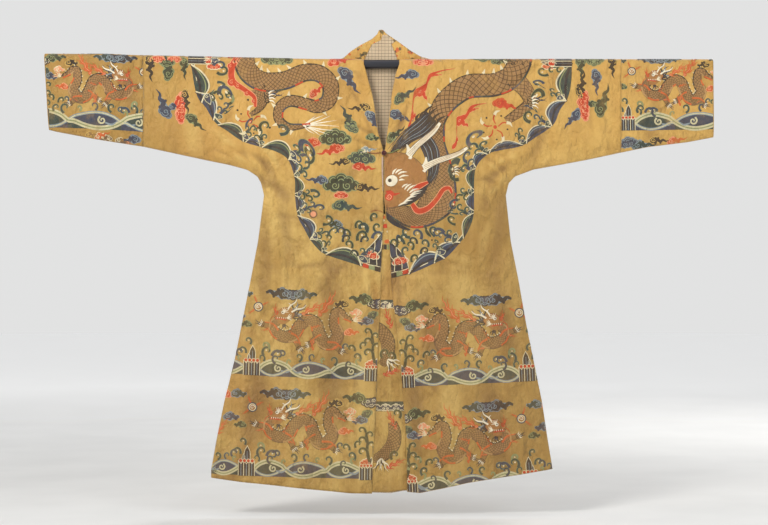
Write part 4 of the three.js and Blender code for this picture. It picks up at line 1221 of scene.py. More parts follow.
def yoke_right(pen):
    """The front's right: the dragon's head and body, and the sea along the yoke's edge."""
    yoke_border(pen, YOKE_EDGE[RIGHT], [
        (46, 112, 40, "slate", 0.2), (126, 96, 38, "slate", 0), (236, 80, 24, "teal", 0.2),
        (322, 54, 24, "slate", 0), (382, 60, 24, "teal", 0.2), (446, 50, 24, "slate", 0),
        (502, 100, 24, "slate", -0.1), (612, 84, 28, "slate", 0), (700, 84, 36, "slate", -0.1),
        (782, 112, 42, "teal", -0.1),
    ], [
        (38, 88, -20, 0, 18), (66, 84, 14, 1, 17), (92, 96, 40, 0, 17), (120, 78, -16, 1, 17),
        (152, 74, 16, 0, 18), (184, 66, -20, 0, 17), (214, 52, 14, 1, 18), (262, 40, -10, 0, 17),
        (306, 44, 10, 0, 17), (352, 46, 24, 1, 16), (410, 44, -14, 0, 17), (444, 50, 20, 1, 17),
        (478, 50, -24, 0, 18), (654, 44, 10, 0, 17), (690, 58, -16, 1, 17), (722, 66, 24, 0, 18),
        (758, 60, -10, 1, 17), (790, 70, 16, 0, 17), (822, 76, -20, 1, 17), (858, 66, 0, 0, 17),
    ])
    blaze(pen, [(80, -180), (91, -137), (100, -94), (128, -63), (145, -32), (214, -12)], 28)
    blaze(pen, [(205, -237), (219, -208), (219, -171), (242, -146), (265, -123), (305, -111)], 26)
    pen.disc(128, -368, 28, "scale", 1)
    drift(pen.moved(339, -111, -14), 19, "coral", "ember")
    trunk = [(402, 37, 62), (398, 3, 64), (372, -39, 64), (325, -60, 64), (256, -64, 66),
             (214, -86, 64), (180, -120, 60), (160, -166, 50), (162, -223, 44),
             (171, -274, 56), (177, -331, 74), (171, -382, 92), (151, -408, 88),
             (120, -431, 70), (86, -436, 58), (51, -422, 46), (17, -402, 40)]
    arm = [(382, -40, 50), (416, -77, 42), (425, -111, 32), (393, -140, 26), (359, -163, 20)]
    body(pen, arm, -1, belly=False, spines=0, net=1.8)
    body(pen, trunk[7:], -1, spacing=10, spines=0, net=1.3)
    body(pen, trunk[:9], -1, spacing=18, net=2.2)
    foot(pen.moved(428, -109, 6), 19)
    foot(pen.moved(208, -305, 4), 15)
    wheel(pen.moved(328, -180, 12), 46)
    squiggle = [(91, -399, 10), (108, -419, 15), (137, -411, 13), (162, -385, 12),
                (180, -359, 11), (197, -354, 9), (205, -368, 5)]
    pen.ribbon(widened(squiggle, 4), "rose", 5)
    pen.ribbon(squiggle, "coral", 6)
    pen.ribbon([(14, -425, 12), (34, -448, 14), (63, -465, 10), (86, -473, 4)], "navy", 5)
    big_head(pen)
    for x, h in ((128, -536), (162, -508), (120, -528), (148, -502)):
        pen.disc(x, h, 2.6, "dark", 3)
    clouds(pen, CLOUDS[RIGHT])
    for x, h, turn, mirrored in ((46, -522, 0, 1), (68, -508, 20, 0), (91, -530, -10, 1),
                                 (68, -545, 10, 0), (105, -513, 24, 1), (117, -542, -20, 0),
                                 (137, -522, 10, 1), (91, -565, -6, 0)):
        curl(pen.moved(x, h, turn, 1, mirrored), 13, ("navy", "green", "teal")[round(x) % 3])
    cliff(pen.moved(56, -602, 4, 1, True), 104)
    rocks(pen.moved(547, FOLD_H, 90), 62, 56, 0, 1.7)
    ruyi(pen.moved(482, -6, 0), 15, "coral", "rose", "cream")


def dragon_band(pen, rocky=True, sea=50):
    """A band 400 wide and 240 high, from its inner lower corner out to -x: a small dragon after
    a pearl, over the sea."""
    if rocky:
        waves(pen.moved(-338, 4), 302, sea)
        waves(pen.moved(-520, 6), 140, 46)
        rocks(pen.moved(-359, 4), 46, 44, 0, 1.9, [(-0.08, 0.6, "slate"), (0.04, 1.0, "navy")])
        rocks(pen.moved(-18, 0), 38, 42, 0.2, 1.5, [(0.2, 1.0, "slate")])
        ruyi(pen.moved(-16, 50), 14, "coral", "rose", "cream")
    else:
        waves(pen.moved(-420, 2), 470, sea)
    stem = pen.moved(-8, 50, 6)
    stem.ribbon([(0, 0, 9), (-4, 34, 8), (0, 66, 6), (-4, 96, 3)], "green", 3)
    for y, size, mirror in ((24, 15, 1), (40, 14, 0), (58, 13, 1), (72, 12, 0), (88, 11, 1)):
        curl(stem.moved(-3, y, 30 if mirror else -30, 1, mirror), size, "green")
    for x, y, turn, mirror, size, tint in (
        (-326, 62, -6, 0, 15, "teal"), (-312, 80, 6, 1, 12, "leaf"), (-302, 62, -46, 0, 16, "slate"),
        (-286, 70, -62, 0, 12, "slate"), (-52, 56, 0, 1, 13, "teal"), (-66, 84, 20, 1, 12, "green"),
        (-48, 92, 0, 0, 11, "green"), (-98, 88, 0, 0, 10, "slate"), (-364, 92, 0, 1, 11, "teal"),
        (-376, 66, 20, 1, 12, "teal"), (-400, 58, 0, 0, 12, "slate"),
    ):
        curl(pen.moved(x, y, turn, 1, mirror), size, tint)
    ruyi(pen.moved(-246, 240, 180), 20, "slate", "sky", "navy")
    drift(pen.moved(-270, 240, -6, 1, True), 22, "navy", "sky", 1)
    drift(pen.moved(-226, 240, 4), 20, "teal", "sky", 1)
    ruyi(pen.moved(-6, 222, 190), 20, "slate", "cream", "navy")
    drift(pen.moved(-36, 232, -6, 1, True), 21, "green", "leaf", 1)
    drift(pen.moved(-16, 190, 40, 1, True), 15, "teal", "leaf", 1)
    drift(pen.moved(-30, 172, 10, 1, True), 15, "slate", "sky", 0)
    drift(pen.moved(-98, 218, 0, 1, True), 15, "dark", "gold", 0)
    drift(pen.moved(-420, 236, 0, 1, True), 18, "coral", "rose", 1)
    drift(pen.moved(-392, 238, 0), 16, "teal", "sky", 0)
    drift(pen.moved(-412, 172, 0), 16, "slate", "sky", 0)
    flame(pen.moved(-446, 120, -30), 60, "ember", "rose")
    drift(pen.moved(-60, 196, 6, 1, True), 12, "rose", "cream", 0)
    drift(pen.moved(-86, 138, 4), 13, "ember", "rose", 1)
    drift(pen.moved(-372, 150, 0, 1, True), 12, "green", "leaf", 0)
    flame(pen.moved(-218, 186, -56), 76, "ember", "rose")
    flame(pen.moved(-168, 182, -38, 1, True), 86, "ember", "rose")
    flame(pen.moved(-190, 148, -70), 30, "ember", "coral")
    flame(pen.moved(-256, 132, -30), 34, "ember", "coral")
    flame(pen.moved(-292, 168, 10), 46, "ember", "coral")
    flame(pen.moved(-186, 84, 20), 40, "ember", "coral")
    pearl(pen.moved(-344, 200), 14)
    path = [(-76, 168, 6), (-84, 176, 12), (-97, 182, 16), (-109, 196, 19), (-124, 193, 23),
            (-127, 160, 28), (-115, 130, 33), (-130, 106, 36), (-154, 106, 36), (-170, 134, 35),
            (-180, 160, 34), (-203, 169, 33), (-226, 150, 33), (-238, 128, 34), (-264, 118, 33),
            (-290, 128, 30), (-300, 148, 26), (-286, 166, 22)]
    for start, end, turn in (((-254, 122), (-226, 88), -50), ((-150, 100), (-108, 84), -20),
                             ((-290, 128), (-330, 150), 150), ((-168, 120), (-196, 100), 200)):
        (x, y), (u, v) = start, end
        limb = [(x, y, 25), ((x + u) / 2 + 4, (y + v) / 2 + 6, 19), (u, v, 10)]
        pen.ribbon(widened(limb, 2.4), "dark", 1)
        pen.ribbon(limb, "taupe", 2)
        pen.ribbon([(a + 5, b + 8, 0.25 * w) for a, b, w in limb], "ember", 4)
        flame(pen.moved((x + u) / 2, (y + v) / 2, turn - 40), 26, "ember", "rose")
        foot(pen.moved(u, v, turn), 10)
    body(pen, path, -1, spacing=9, spines=13, net=1.0, plates=("ember", "lattice", "brown"))
    strands(pen.moved(-74, 172, 24), 8, 34, 70, ("cream", "rose"), 3, 0.05)
    head(pen.moved(-262, 178), 36)


def body_left(pen):
    """The left half's front: the yoke and two bands."""
    yoke_left(pen)
    dragon_band(pen.moved(-8, -905, -1.5))
    dragon_band(pen.moved(-22, -1186, -0.6))
    seam_stitches(pen, LEFT, False)


def body_right(pen):
    """The right half's front: the yoke and two bands, slanted as the edge hangs."""
    yoke_right(pen)
    dragon_band(pen.moved(62, -924, 2.4, 1, True))
    dragon_band(pen.moved(72, -1232, 3.6, 1, True))
    seam_stitches(pen, RIGHT, False)


def cuff_left(pen):
    dragon_band(pen.moved(-976, -196, -2, 0.86, True), False, 64)
    clouds(pen, [
        ("drift", -804, -221, 11, 20, 0, "ember", "cream"),
        ("drift", -775, -226, 10, 10, 1, "brown", "cream"),
        ("drift", -744, -231, 10, -10, 0, "taupe", "cream"),
        ("drift", -698, -226, 15, 10, 1, "slate", "sky"),
        ("drift", -721, -238, 9, 10, 1, "brown", "rose"),
        ("drift", -832, -215, 8, 0, 0, "taupe", "gold"),
    ])
    seam_stitches(pen, LEFT, True)


def cuff_right(pen):
    dragon_band(pen.moved(1016, -188, 1, 0.86), True, 62)
    clouds(pen, [
        ("ruyi", 707, -225, 19, 10, 0, "slate", "sky"), ("drift", 735, -231, 16, 4, 0, "teal", "sky"),
        ("drift", 781, -217, 13, 0, 0, "dark", "gold"), ("drift", 832, -220, 13, 14, 0, "ember", "rose"),
    ])
    seam_stitches(pen, RIGHT, True)


def seam_stitches(pen, side, sleeve):
    """Running stitches beside the cut edges and seams, front and back."""
    out = OUTWARD[side]
    hem = lookup(HEM, 0)
    if sleeve:
        places = [(CUFF_TOP[side] + CUFF_PULL[side] * t - 6 * out, t) for t in np.linspace(0.02, 0.97, 6)]
        lines = [[(x, t * (lookup(UNDERARM[side], x) - fold_up(x))) for x, t in places]]
    else:
        xs = np.linspace(16 * out, lookup(SIDE_SEAM[side], hem) - 6 * out, 12)
        lines = [[(x, lookup(HEM, x) + 7 - fold_up(x)) for x in xs]]
        zs = np.linspace(-0.01, 0.98, 16) * hem
        edge = [lookup(FRONT_EDGE[side], z) + 5 * out for z in zs]
        lines.append([(x, z - fold_up(x)) for x, z in zip(edge, zs)])
        seam = SLEEVE_SEAM[side] - 5 * out
        lines.append([(seam, -2), (seam, -110), (seam, lookup(UNDERARM[side], seam) - fold_up(seam))])
    for line in lines:
        stitches(pen, line)
        stitches(pen, [(x, 2 * FOLD_H - h) for x, h in line])


def gore_art(pen):
    """Scraps of the same silk down the gore."""
    for y0, y1 in ((-672, -696), (-962, -990)):
        pen.between([(-60, y0), (120, y0)], [(-60, y1), (120, y1)], "teal", 1)
        for x in (-14, 16, 46, 76):
            ruyi(pen.moved(x, (y0 + y1) / 2 - 4), 13, "slate", "cream", "cream")
    for x, y, turn in ((18, -790, 10), (34, -1082, -30)):
        scrap = pen.moved(x, y, turn)
        body(scrap, [(-30, 54, 22), (-8, 30, 34), (4, -4, 38), (-6, -44, 32), (-26, -66, 18)], 1,
             spacing=9, belly=False, spines=0)
        strands(scrap.moved(-4, -52, -60), 7, 44, 80, ("white", "navy", "cream"), 4, 0.06, 5)
    for x, y, r, tint in ((6, -404, 9, "coral"), (18, -416, 6, "navy"), (8, -438, 8, "ember"),
                          (16, -462, 9, "coral"), (4, -480, 6, "green"), (20, -506, 8, "ember"),
                          (10, -446, 4, "cream"), (22, -478, 4, "cream")):
        pen.disc(x, y, r, tint, 2, 0.7 * r, 30 * math.sin(y))
    for x, tint in ((2, "green"), (11, "navy"), (20, "leaf")):
        pen.between([(x, -528), (x + 8, -530)], [(x, -514), (x + 8, -515)], tint, 2)
    for x, y, turn in ((10, -884, -70), (30, -752, 20), (20, -1150, -60), (44, -1040, 30)):
        flame(pen.moved(x, y, turn), 62)
    for x, y, mirror in ((6, -838, 0), (40, -846, 1), (34, -1128, 0), (56, -1010, 1)):
        curl(pen.moved(x, y, 0, 1, mirror), 14, "green")


# ---------------------------------------------------------------------------------------------
# From flat patches to a mesh on the hung cloth

EDGE = 1.2  # how far the pattern stays from a cut edge
TIE_LIFT, TIE_ROUND = 0.004, 16  # keeps patches of one layer from lying in one plane


def fit(side, sleeve, points):
    """Keeps places inside the outline of a half: its seams, front edge and hem."""
    x, h = points[..., 0].copy(), points[..., 1].copy()
    out = OUTWARD[side]
    if sleeve:
        under = lookup(UNDERARM[side], x)
        fallen = np.clip((FOLD_H - np.abs(FOLD_H - h)) / (under - fold_up(x)), 0, 1)
        near = abs(SLEEVE_SEAM[side]) + EDGE
        far = out * (CUFF_TOP[side] + CUFF_PULL[side] * fallen) - 2
    else:
        near, far = -1e3, abs(SLEEVE_SEAM[side]) - EDGE
    x = out * np.clip(out * x, near, far)
    back = h > FOLD_H
    z = fold_up(x) - (np.abs(FOLD_H - h) - FOLD_H)
    wide = out * x
    if sleeve:
        z = np.maximum(z, lookup(UNDERARM[side], x) + EDGE)
    else:
        side_x = out * lookup(SIDE_SEAM[side], z) - EDGE
        wide = np.where(z < ARMPIT_Z, np.minimum(wide, side_x), wide)
        over_arm = wide > abs(ARMPIT[side])
        under = lookup(UNDERARM[side], out * wide) + EDGE
        z = np.where(over_arm & (z > ARMPIT_Z), np.maximum(z, under), z)
        opening = out * lookup(FRONT_EDGE[side], z) + EDGE
        wide = np.maximum(wide, np.where(back, GAP / 2 + 0.4, opening))
        x = out * wide
        z = np.maximum(z, lookup(HEM, x) + EDGE)
    down = FOLD_H + fold_up(x) - z
    down = np.where(np.abs(FOLD_H - h) < FOLD_H, np.abs(FOLD_H - h), down)
    return np.stack([x, np.where(back, FOLD_H + down, FOLD_H - down)], -1)


def pattern(name, patches, trim, place, material):
    """One mesh of all the patches, each a little above what it lies on."""
    points, outs, tints, quads = [], [], [], []
    base = 0
    for index, (grid, tint, layer) in enumerate(patches):
        rows, columns = grid.shape[:2]
        ids = base + np.arange(rows * columns).reshape(rows, columns)
        quads.append(np.stack([ids[:-1, :-1], ids[1:, :-1], ids[1:, 1:], ids[:-1, 1:]], -1).reshape(-1, 4))
        points.append(grid.reshape(-1, 2))
        above = SHELL / 2 + LIFT + LAYER * layer + TIE_LIFT * (index % TIE_ROUND)
        outs.append(np.full(rows * columns, above))
        tints.append(np.tile(srgb(*PALETTE[tint]), (rows * columns, 1)))
        base += rows * columns
    points, outs, quads, tints = (np.concatenate(x) for x in (points, outs, quads, tints))
    flat = trim(points)
    a, b, c, d = (flat[quads[:, k]] for k in range(4))
    area = 0.5 * ((c - a)[:, 0] * (d - b)[:, 1] - (c - a)[:, 1] * (d - b)[:, 0])
    quads = np.where((area < 0)[:, None], quads[:, ::-1], quads)[np.abs(area) > SLIVER]
    used, again = np.unique(quads, return_inverse=True)
    made = new_object(name, place(flat[used, 0], flat[used, 1], outs[used]), again.reshape(quads.shape))
    colours = made.data.color_attributes.new("tint", "FLOAT_COLOR", "POINT")
    colours.data.foreach_set("color", tints[used].ravel())
    made.data.materials.append(material)
    return made


def lay_on_gore(x, z, out):
    return hang(x, z, "front", out - (CLOTH + GORE_BEHIND))


def trim_gore(points):
    z = np.clip(points[:, 1], lookup(HEM, points[:, 0]) + GORE_SHORT + EDGE, GORE_TOP - EDGE)
    left, right = gore_edges(z)
    return np.stack([np.clip(points[:, 0], left + EDGE, right - EDGE), z], 1)


# ---------------------------------------------------------------------------------------------
# Materials

WAVE_RADIANS = 20  # Blender's wave texture turns this far in a metre at scale 1


class Look:
    """Builds one procedural material. Places are in metres on the object."""

    def __init__(self, name):
        self.material = bpy.data.materials.new(name)
        self.material.use_nodes = True
        self.tree = self.material.node_tree
        self.shader = self.tree.nodes["Principled BSDF"]
        self.places = self.add("ShaderNodeTexCoord").outputs["Object"]

    def add(self, kind, inputs=None, **settings):
        node = self.tree.nodes.new(kind)
        for key, value in settings.items():
            setattr(node, key, value)
        for key, value in (inputs or {}).items():
            self.give(node.inputs[key], value)
        return node

    def give(self, socket, value):
        if isinstance(value, bpy.types.NodeSocket):
            self.tree.links.new(value, socket)
        else:
            socket.default_value = value

    def scaled(self, scale, turn=(0, 0, 0)):
        node = self.add("ShaderNodeMapping", {"Vector": self.places, "Rotation": turn, "Scale": scale})
        return node.outputs["Vector"]

    def noise(self, scale, stretch=(1, 1, 1), detail=3, rough=0.5, seed=0.0):
        node = self.add("ShaderNodeTexNoise", noise_dimensions="4D")
        for key, value in (("Vector", self.scaled(stretch)), ("Scale", scale), ("Detail", detail),
                           ("Roughness", rough), ("W", seed)):
            self.give(node.inputs[key], value)
        return node.outputs["Fac"]

    def wave(self, period, turn=(0, 0, 0), bend=0.0):
        """Stripes a period apart, in metres, across the turned x axis."""
        node = self.add("ShaderNodeTexWave", {"Vector": self.scaled((1, 1, 1), turn)},
                        wave_type="BANDS", bands_direction="X", wave_profile="SIN")
        scale = 2 * math.pi / (WAVE_RADIANS * period)
        for key, value in (("Scale", scale), ("Distortion", bend), ("Detail", 1.0)):
            node.inputs[key].default_value = value
        return node.outputs["Fac"]

    def span(self, value, low, high, to_low=0.0, to_high=1.0):
        """Maps low to high onto the range that is given, and holds it there outside."""
        node = self.add("ShaderNodeMapRange", {"Value": value, "From Min": low, "From Max": high,
                                               "To Min": to_low, "To Max": to_high})
        return node.outputs["Result"]

    def mix(self, share, a, b):
        """Mixes colours. The node has sockets for each type, so these go by number."""
        node = self.add("ShaderNodeMix", data_type="RGBA")
        for key, value in ((0, share), (6, a), (7, b)):
            self.give(node.inputs[key], value)
        return node.outputs[2]

    def math(self, how, a, b=0.0):
        return self.add("ShaderNodeMath", {0: a, 1: b}, operation=how).outputs[0]

    def bump(self, layers):
        """Bumps of (height, strength, distance in metres), one over another."""
        normal = None
        for height, strength, distance in layers:
            inputs = {"Height": height, "Strength": strength, "Distance": distance}
            if normal is not None:
                inputs["Normal"] = normal
            normal = self.add("ShaderNodeBump", inputs).outputs["Normal"]
        self.give(self.shader.inputs["Normal"], normal)

    def finish(self, colour, roughness, **constants):
        self.give(self.shader.inputs["Base Color"], colour)
        self.give(self.shader.inputs["Roughness"], roughness)
        for key, value in constants.items():
            self.shader.inputs[key.replace("_", " ")].default_value = value
        return self.material


SILK_GOLD, SILK_PALE, SILK_DEEP = srgb(188, 146, 66), srgb(214, 180, 104), srgb(150, 112, 48)
SILK_BROWN, SILK_RED = srgb(116, 80, 38), srgb(176, 116, 54)
# Painted light: a brighter gold that the upper body is mixed towards.
SILK_TOP_LIGHT = srgb(220, 168, 82)
WEAVE_PERIOD, RIB_PERIOD, THREAD_PERIOD, CHECK_PERIOD = 0.0012, 0.0035, 0.0011, 0.0094  # metres


def silk_colour(look):
    """Golden silk that has faded unevenly, with streaks down its length and old stains. Painted light lifts
    the upper body and the crease ridges, painted shade darkens the left sleeve, the lower right of the body
    and the crease troughs, and it is a little darker towards the hem.
    """
    cloudy = look.noise(5.0, detail=6, rough=0.62)
    colour = look.mix(look.span(cloudy, 0.36, 0.64), SILK_DEEP, SILK_PALE)
    colour = look.mix(0.42, colour, SILK_GOLD)
    mottled = look.noise(24.0, (1, 1, 0.6), 6, 0.66, 3.1)
    colour = look.mix(look.span(mottled, 0.47, 0.66, 0, 0.75), colour, SILK_DEEP)
    colour = look.mix(look.span(mottled, 0.46, 0.34, 0, 0.5), colour, SILK_PALE)
    fine = look.noise(70.0, (1, 1, 0.7), 5, 0.7, 4.4)
    colour = look.mix(look.span(fine, 0.5, 0.68, 0, 0.4), colour, SILK_DEEP)
    streaks = look.noise(60.0, (1, 1, 0.06), 2, 0.5, 5.7)
    colour = look.mix(look.span(streaks, 0.46, 0.72, 0, 0.3), colour, SILK_PALE)
    stains = look.noise(11.0, (1, 1, 0.8), 8, 0.72, 8.2)
    colour = look.mix(look.span(stains, 0.55, 0.7, 0, 0.75), colour, SILK_BROWN)
    blush = look.noise(3.4, (1, 1, 1), 2, 0.5, 11.0)
    colour = look.mix(look.span(blush, 0.5, 0.7, 0, 0.4), colour, SILK_RED)
    parts = look.add("ShaderNodeSeparateXYZ", {"Vector": look.places}).outputs
    across, height = parts["X"], parts["Z"]
    # Painted light: the upper body is mixed towards a brighter gold, more so towards the top.
    colour = look.mix(look.span(height, -0.46, -0.16, 0, 0.5), colour, SILK_TOP_LIGHT)
    # Painted shade: darker towards the left sleeve's cuff.
    colour = look.mix(look.span(across, -0.4, -0.72, 0, 0.75), colour, SILK_DEEP)
    # Painted shade: the right of the body, from the waist down, is mixed towards deeper gold.
    below = look.math("MULTIPLY", look.span(across, 0.08, 0.22), look.span(height, -0.26, -0.4))
    colour = look.mix(look.span(below, 0, 1, 0, 0.5), colour, SILK_DEEP)
    # Painted shade in the creases' troughs and painted light on their ridges, from the crease attribute.
    crease = look.add("ShaderNodeAttribute", attribute_name="crease").outputs["Fac"]
    colour = look.mix(look.span(crease, -0.4, -4.4, 0, 0.66), colour, SILK_BROWN)
    colour = look.mix(look.span(crease, 0.5, 3.6, 0, 0.5), colour, SILK_PALE)
    return look.mix(look.span(height, -0.5, -1.1, 0, 0.14), colour, SILK_BROWN)


def silk_weave(look):
    """A fine twill, with the ribs of a heavier weft."""
    twill = look.wave(WEAVE_PERIOD, (0, math.radians(38), 0), 0.6)
    ribs = look.wave(RIB_PERIOD, (0, math.radians(90), 0), 1.4)
    return twill, ribs


def crumpled(look):
    """Small creases and a crushed surface, as bumps."""
    crushed = look.noise(34.0, (1, 1, 0.8), 6, 0.62, 2.0)
    ridged = look.math("ABSOLUTE", look.math("SUBTRACT", look.noise(9.0, (1, 1, 0.6), 5, 0.55, 7.0), 0.5))
    return (crushed, 0.9, 0.009), (look.span(ridged, 0, 0.09), 0.8, 0.007)


def silk(name):
    look = Look(name)
    twill, ribs = silk_weave(look)
    colour = silk_colour(look)
    colour = look.mix(look.span(twill, 0, 1, 0.0, 0.14), colour, SILK_PALE)
    colour = look.mix(look.span(ribs, 0, 1, 0.1, 0.0), colour, SILK_BROWN)
    rough = look.span(look.noise(20.0, seed=4.0), 0.3, 0.7, 0.5, 0.68)
    look.bump([(twill, 0.25, 0.0003), (ribs, 0.2, 0.0003), *crumpled(look)])
    return look.finish(colour, rough, Sheen_Weight=0.25, Sheen_Roughness=0.45,
                       Specular_IOR_Level=0.42)


def silk_scraps(name):
    """The collar's silk, pieced from scraps with bits of the pattern on them."""
    look = Look(name)
    twill, ribs = silk_weave(look)
    colour = silk_colour(look)
    for scale, seed, tint in ((46.0, 1.0, "green"), (52.0, 5.0, "coral"), (60.0, 9.0, "navy"),
                              (70.0, 2.5, "gold")):
        bits = look.noise(scale, detail=3, rough=0.5, seed=seed)
        colour = look.mix(look.span(bits, 0.585, 0.605, 0, 0.8), colour, srgb(*PALETTE[tint]))
    colour = look.mix(look.span(twill, 0, 1, 0.0, 0.14), colour, SILK_PALE)
    look.bump([(twill, 0.25, 0.0003), (ribs, 0.2, 0.0003), *crumpled(look)])
    return look.finish(colour, 0.62, Sheen_Weight=0.2, Sheen_Roughness=0.5, Specular_IOR_Level=0.4)


def silk_pattern(name):
    """The figured part of the same silk: each vertex has its thread's colour."""
    look = Look(name)
    threads = look.add("ShaderNodeAttribute", attribute_name="tint").outputs["Color"]
    twill, ribs = silk_weave(look)
    ground = silk_colour(look)
    uneven = look.noise(90.0, detail=4, rough=0.65, seed=1.4)
    colour = look.mix(look.span(uneven, 0.3, 0.75, 0.0, 0.13), threads, ground)
    colour = look.mix(look.span(twill, 0.45, 1, 0.0, 0.09), colour, ground)
    worn = look.noise(14.0, (1, 1, 0.7), 6, 0.7, 6.6)
    colour = look.mix(look.span(worn, 0.57, 0.72, 0, 0.42), colour, ground)
    height = look.add("ShaderNodeSeparateXYZ", {"Vector": look.places}).outputs["Z"]
    colour = look.mix(look.span(height, -0.6, -0.72, 0, 0.17), colour, ground)
    dusk = look.noise(7.0, seed=9.3)
    colour = look.mix(look.span(dusk, 0.45, 0.75, 0, 0.14), colour, SILK_BROWN)
    rough = look.span(uneven, 0.3, 0.7, 0.5, 0.72)
    look.bump([(twill, 0.35, 0.0004), (ribs, 0.25, 0.0004), *crumpled(look)])
    return look.finish(colour, rough, Sheen_Weight=0.2, Sheen_Roughness=0.5,
                       Specular_IOR_Level=0.38)


def checked_lining(name):
    """Plain weave of pinkish beige, with paired dark and pale threads about 10 mm apart."""
    look = Look(name)
    base = look.mix(look.span(look.noise(12.0, detail=5, rough=0.6), 0.35, 0.7),
                    srgb(194, 166, 130), srgb(216, 192, 156))
    for turn, dark in (((0, 0, 0), srgb(82, 62, 56)), ((0, math.radians(90), 0), srgb(74, 56, 50))):
        line, pale, thin = (look.wave(CHECK_PERIOD / part, turn, 0.5) for part in (1, 2, 3))
        base = look.mix(look.span(pale, 0.8, 0.95, 0, 0.5), base, srgb(228, 210, 180))
        base = look.mix(look.span(line, 0.88, 0.98, 0, 0.6), base, dark)
        base = look.mix(look.span(thin, 0.9, 0.98, 0, 0.25), base, dark)
    weft = look.wave(THREAD_PERIOD, (0, 0, 0), 0.3)
    warp = look.wave(THREAD_PERIOD, (0, math.radians(90), 0), 0.3)
    base = look.mix(look.span(look.math("MULTIPLY", weft, warp), 0.3, 0.9, 0, 0.25), base,
                    srgb(120, 98, 82))
    rough = look.span(look.noise(30.0), 0.3, 0.7, 0.78, 0.92)
    look.bump([(weft, 0.4, 0.0004), (warp, 0.4, 0.0004), (look.noise(22.0, seed=2.0), 0.4, 0.003)])
    return look.finish(base, rough, Sheen_Weight=0.12, Sheen_Roughness=0.7, Specular_IOR_Level=0.25)


def twisted_cord(name, dark, light, spot):
    """Twisted silk thread."""
    look = Look(name)
    ply = look.wave(THREAD_PERIOD, (0, math.radians(52), math.radians(20)), 0.8)
    colour = look.mix(look.span(ply, 0.2, 0.9), dark, light)
    colour = look.mix(look.span(look.noise(240.0, seed=3.0), 0.5, 0.68, 0, 0.7), colour, spot)
    rough = look.span(look.noise(200.0, seed=1.0), 0.3, 0.7, 0.45, 0.7)
    look.bump([(ply, 0.8, 0.0006), (look.noise(900.0, detail=2), 0.3, 0.0003)])
    return look.finish(colour, rough, Sheen_Weight=0.3, Sheen_Roughness=0.4, Specular_IOR_Level=0.4)


def painted_rod(name):
    look = Look(name)
    streaks = look.noise(40.0, (0.08, 1, 1), 4, 0.55)
    colour = look.mix(look.span(streaks, 0.4, 0.7), srgb(20, 20, 27), srgb(36, 36, 46))
    rubbed = look.noise(60.0, (0.3, 1, 1), 5, 0.7, 4.0)
    colour = look.mix(look.span(rubbed, 0.62, 0.74, 0, 0.4), colour, srgb(66, 62, 62))
    rough = look.span(streaks, 0.3, 0.7, 0.3, 0.46)
    look.bump([(streaks, 0.25, 0.0005), (look.noise(400.0), 0.15, 0.0002)])
    return look.finish(colour, rough, Coat_Weight=0.15, Coat_Roughness=0.3)


SILK = silk("golden_silk")
SCRAPS = silk_scraps("scrap_silk")
FIGURED = silk_pattern("figured_silk")
CHECK = checked_lining("checked_lining")
BUTTON_SILK = twisted_cord("button_cord", srgb(66, 22, 20), srgb(112, 40, 32), srgb(40, 16, 18))
LOOP_SILK = twisted_cord("loop_cord", srgb(126, 66, 34), srgb(184, 108, 58), srgb(206, 156, 92))
STEM_SILK = twisted_cord("stem_cord", srgb(122, 130, 62), srgb(168, 174, 92), srgb(96, 66, 92))
ROD_PAINT = painted_rod("rod_paint")

# ---------------------------------------------------------------------------------------------
# The pieces


def declare(piece, node=None):
    """Attaches a piece to the root body, and hides the CAD node that it takes the place of."""
    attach(piece, "root")
    if node:
        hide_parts(node)
    return piece


def mark_crease_shading(piece):
    """Tells the silk how far each place stands out or lies back in a crease, in millimetres: from it the
    silk paints shade into the troughs and light onto the ridges.
    """
    mesh = piece.data
    places = np.empty(3 * len(mesh.vertices))
    mesh.vertices.foreach_get("co", places)
    x, y, z = places.reshape(-1, 3).T / MM
    marks = np.where(y < 0, creases_at(x, z, "front"), creases_at(x, z, "back")) * (z < -20)
    mesh.attributes.new("crease", "FLOAT", "POINT").data.foreach_set("value", marks)
    return piece


def art(name, draw, trim, place, turned=None):
    """A pattern mesh of a drawing, and of the other half's drawing turned onto the back."""
    patches = []
    pen = Pen(patches)
    draw(pen)
    if turned:
        turned(pen.moved(0, 2 * FOLD_H, 180))
    return declare(mark_crease_shading(pattern(name, patches, trim, place, FIGURED)))


halves, ends = {}, {}
DRAWN = {LEFT: (body_left, body_right, cuff_left, cuff_right),
         RIGHT: (body_right, body_left, cuff_right, cuff_left)}
for side in (LEFT, RIGHT):
    front_art, back_art, cuff_front, cuff_back = DRAWN[side]
    half = declare(mark_crease_shading(body_half(side, f"half_{side}", [SILK, CHECK])), f"body_{side}")
    end = mark_crease_shading(sleeve_end(side, f"sleeve_{side}", [SILK, CHECK]))
    declare(end, f"sleeve_end_{side}")
    halves[side] = half, art(f"figures_{side}", front_art, lambda p, s=side: fit(s, False, p), lay, back_art)
    ends[side] = end, art(f"cuff_figures_{side}", cuff_front, lambda p, s=side: fit(s, True, p), lay,
                          cuff_back)
gore = declare(front_gore("gore", [SILK, CHECK]), "front_gore")
gore_figures = art("gore_figures", gore_art, trim_gore, lay_on_gore)
neck = declare(collar("collar_band", [SILK, CHECK]), "collar")
facings = {side: declare(facing(side, f"facing_{side}", [SCRAPS]), f"collar_facing_{side}")
           for side in (LEFT, RIGHT)}
neck_cloth = declare(neck_lining("neck_lining_cloth", [CHECK]), "neck_lining")


# ---------------------------------------------------------------------------------------------
# Closures


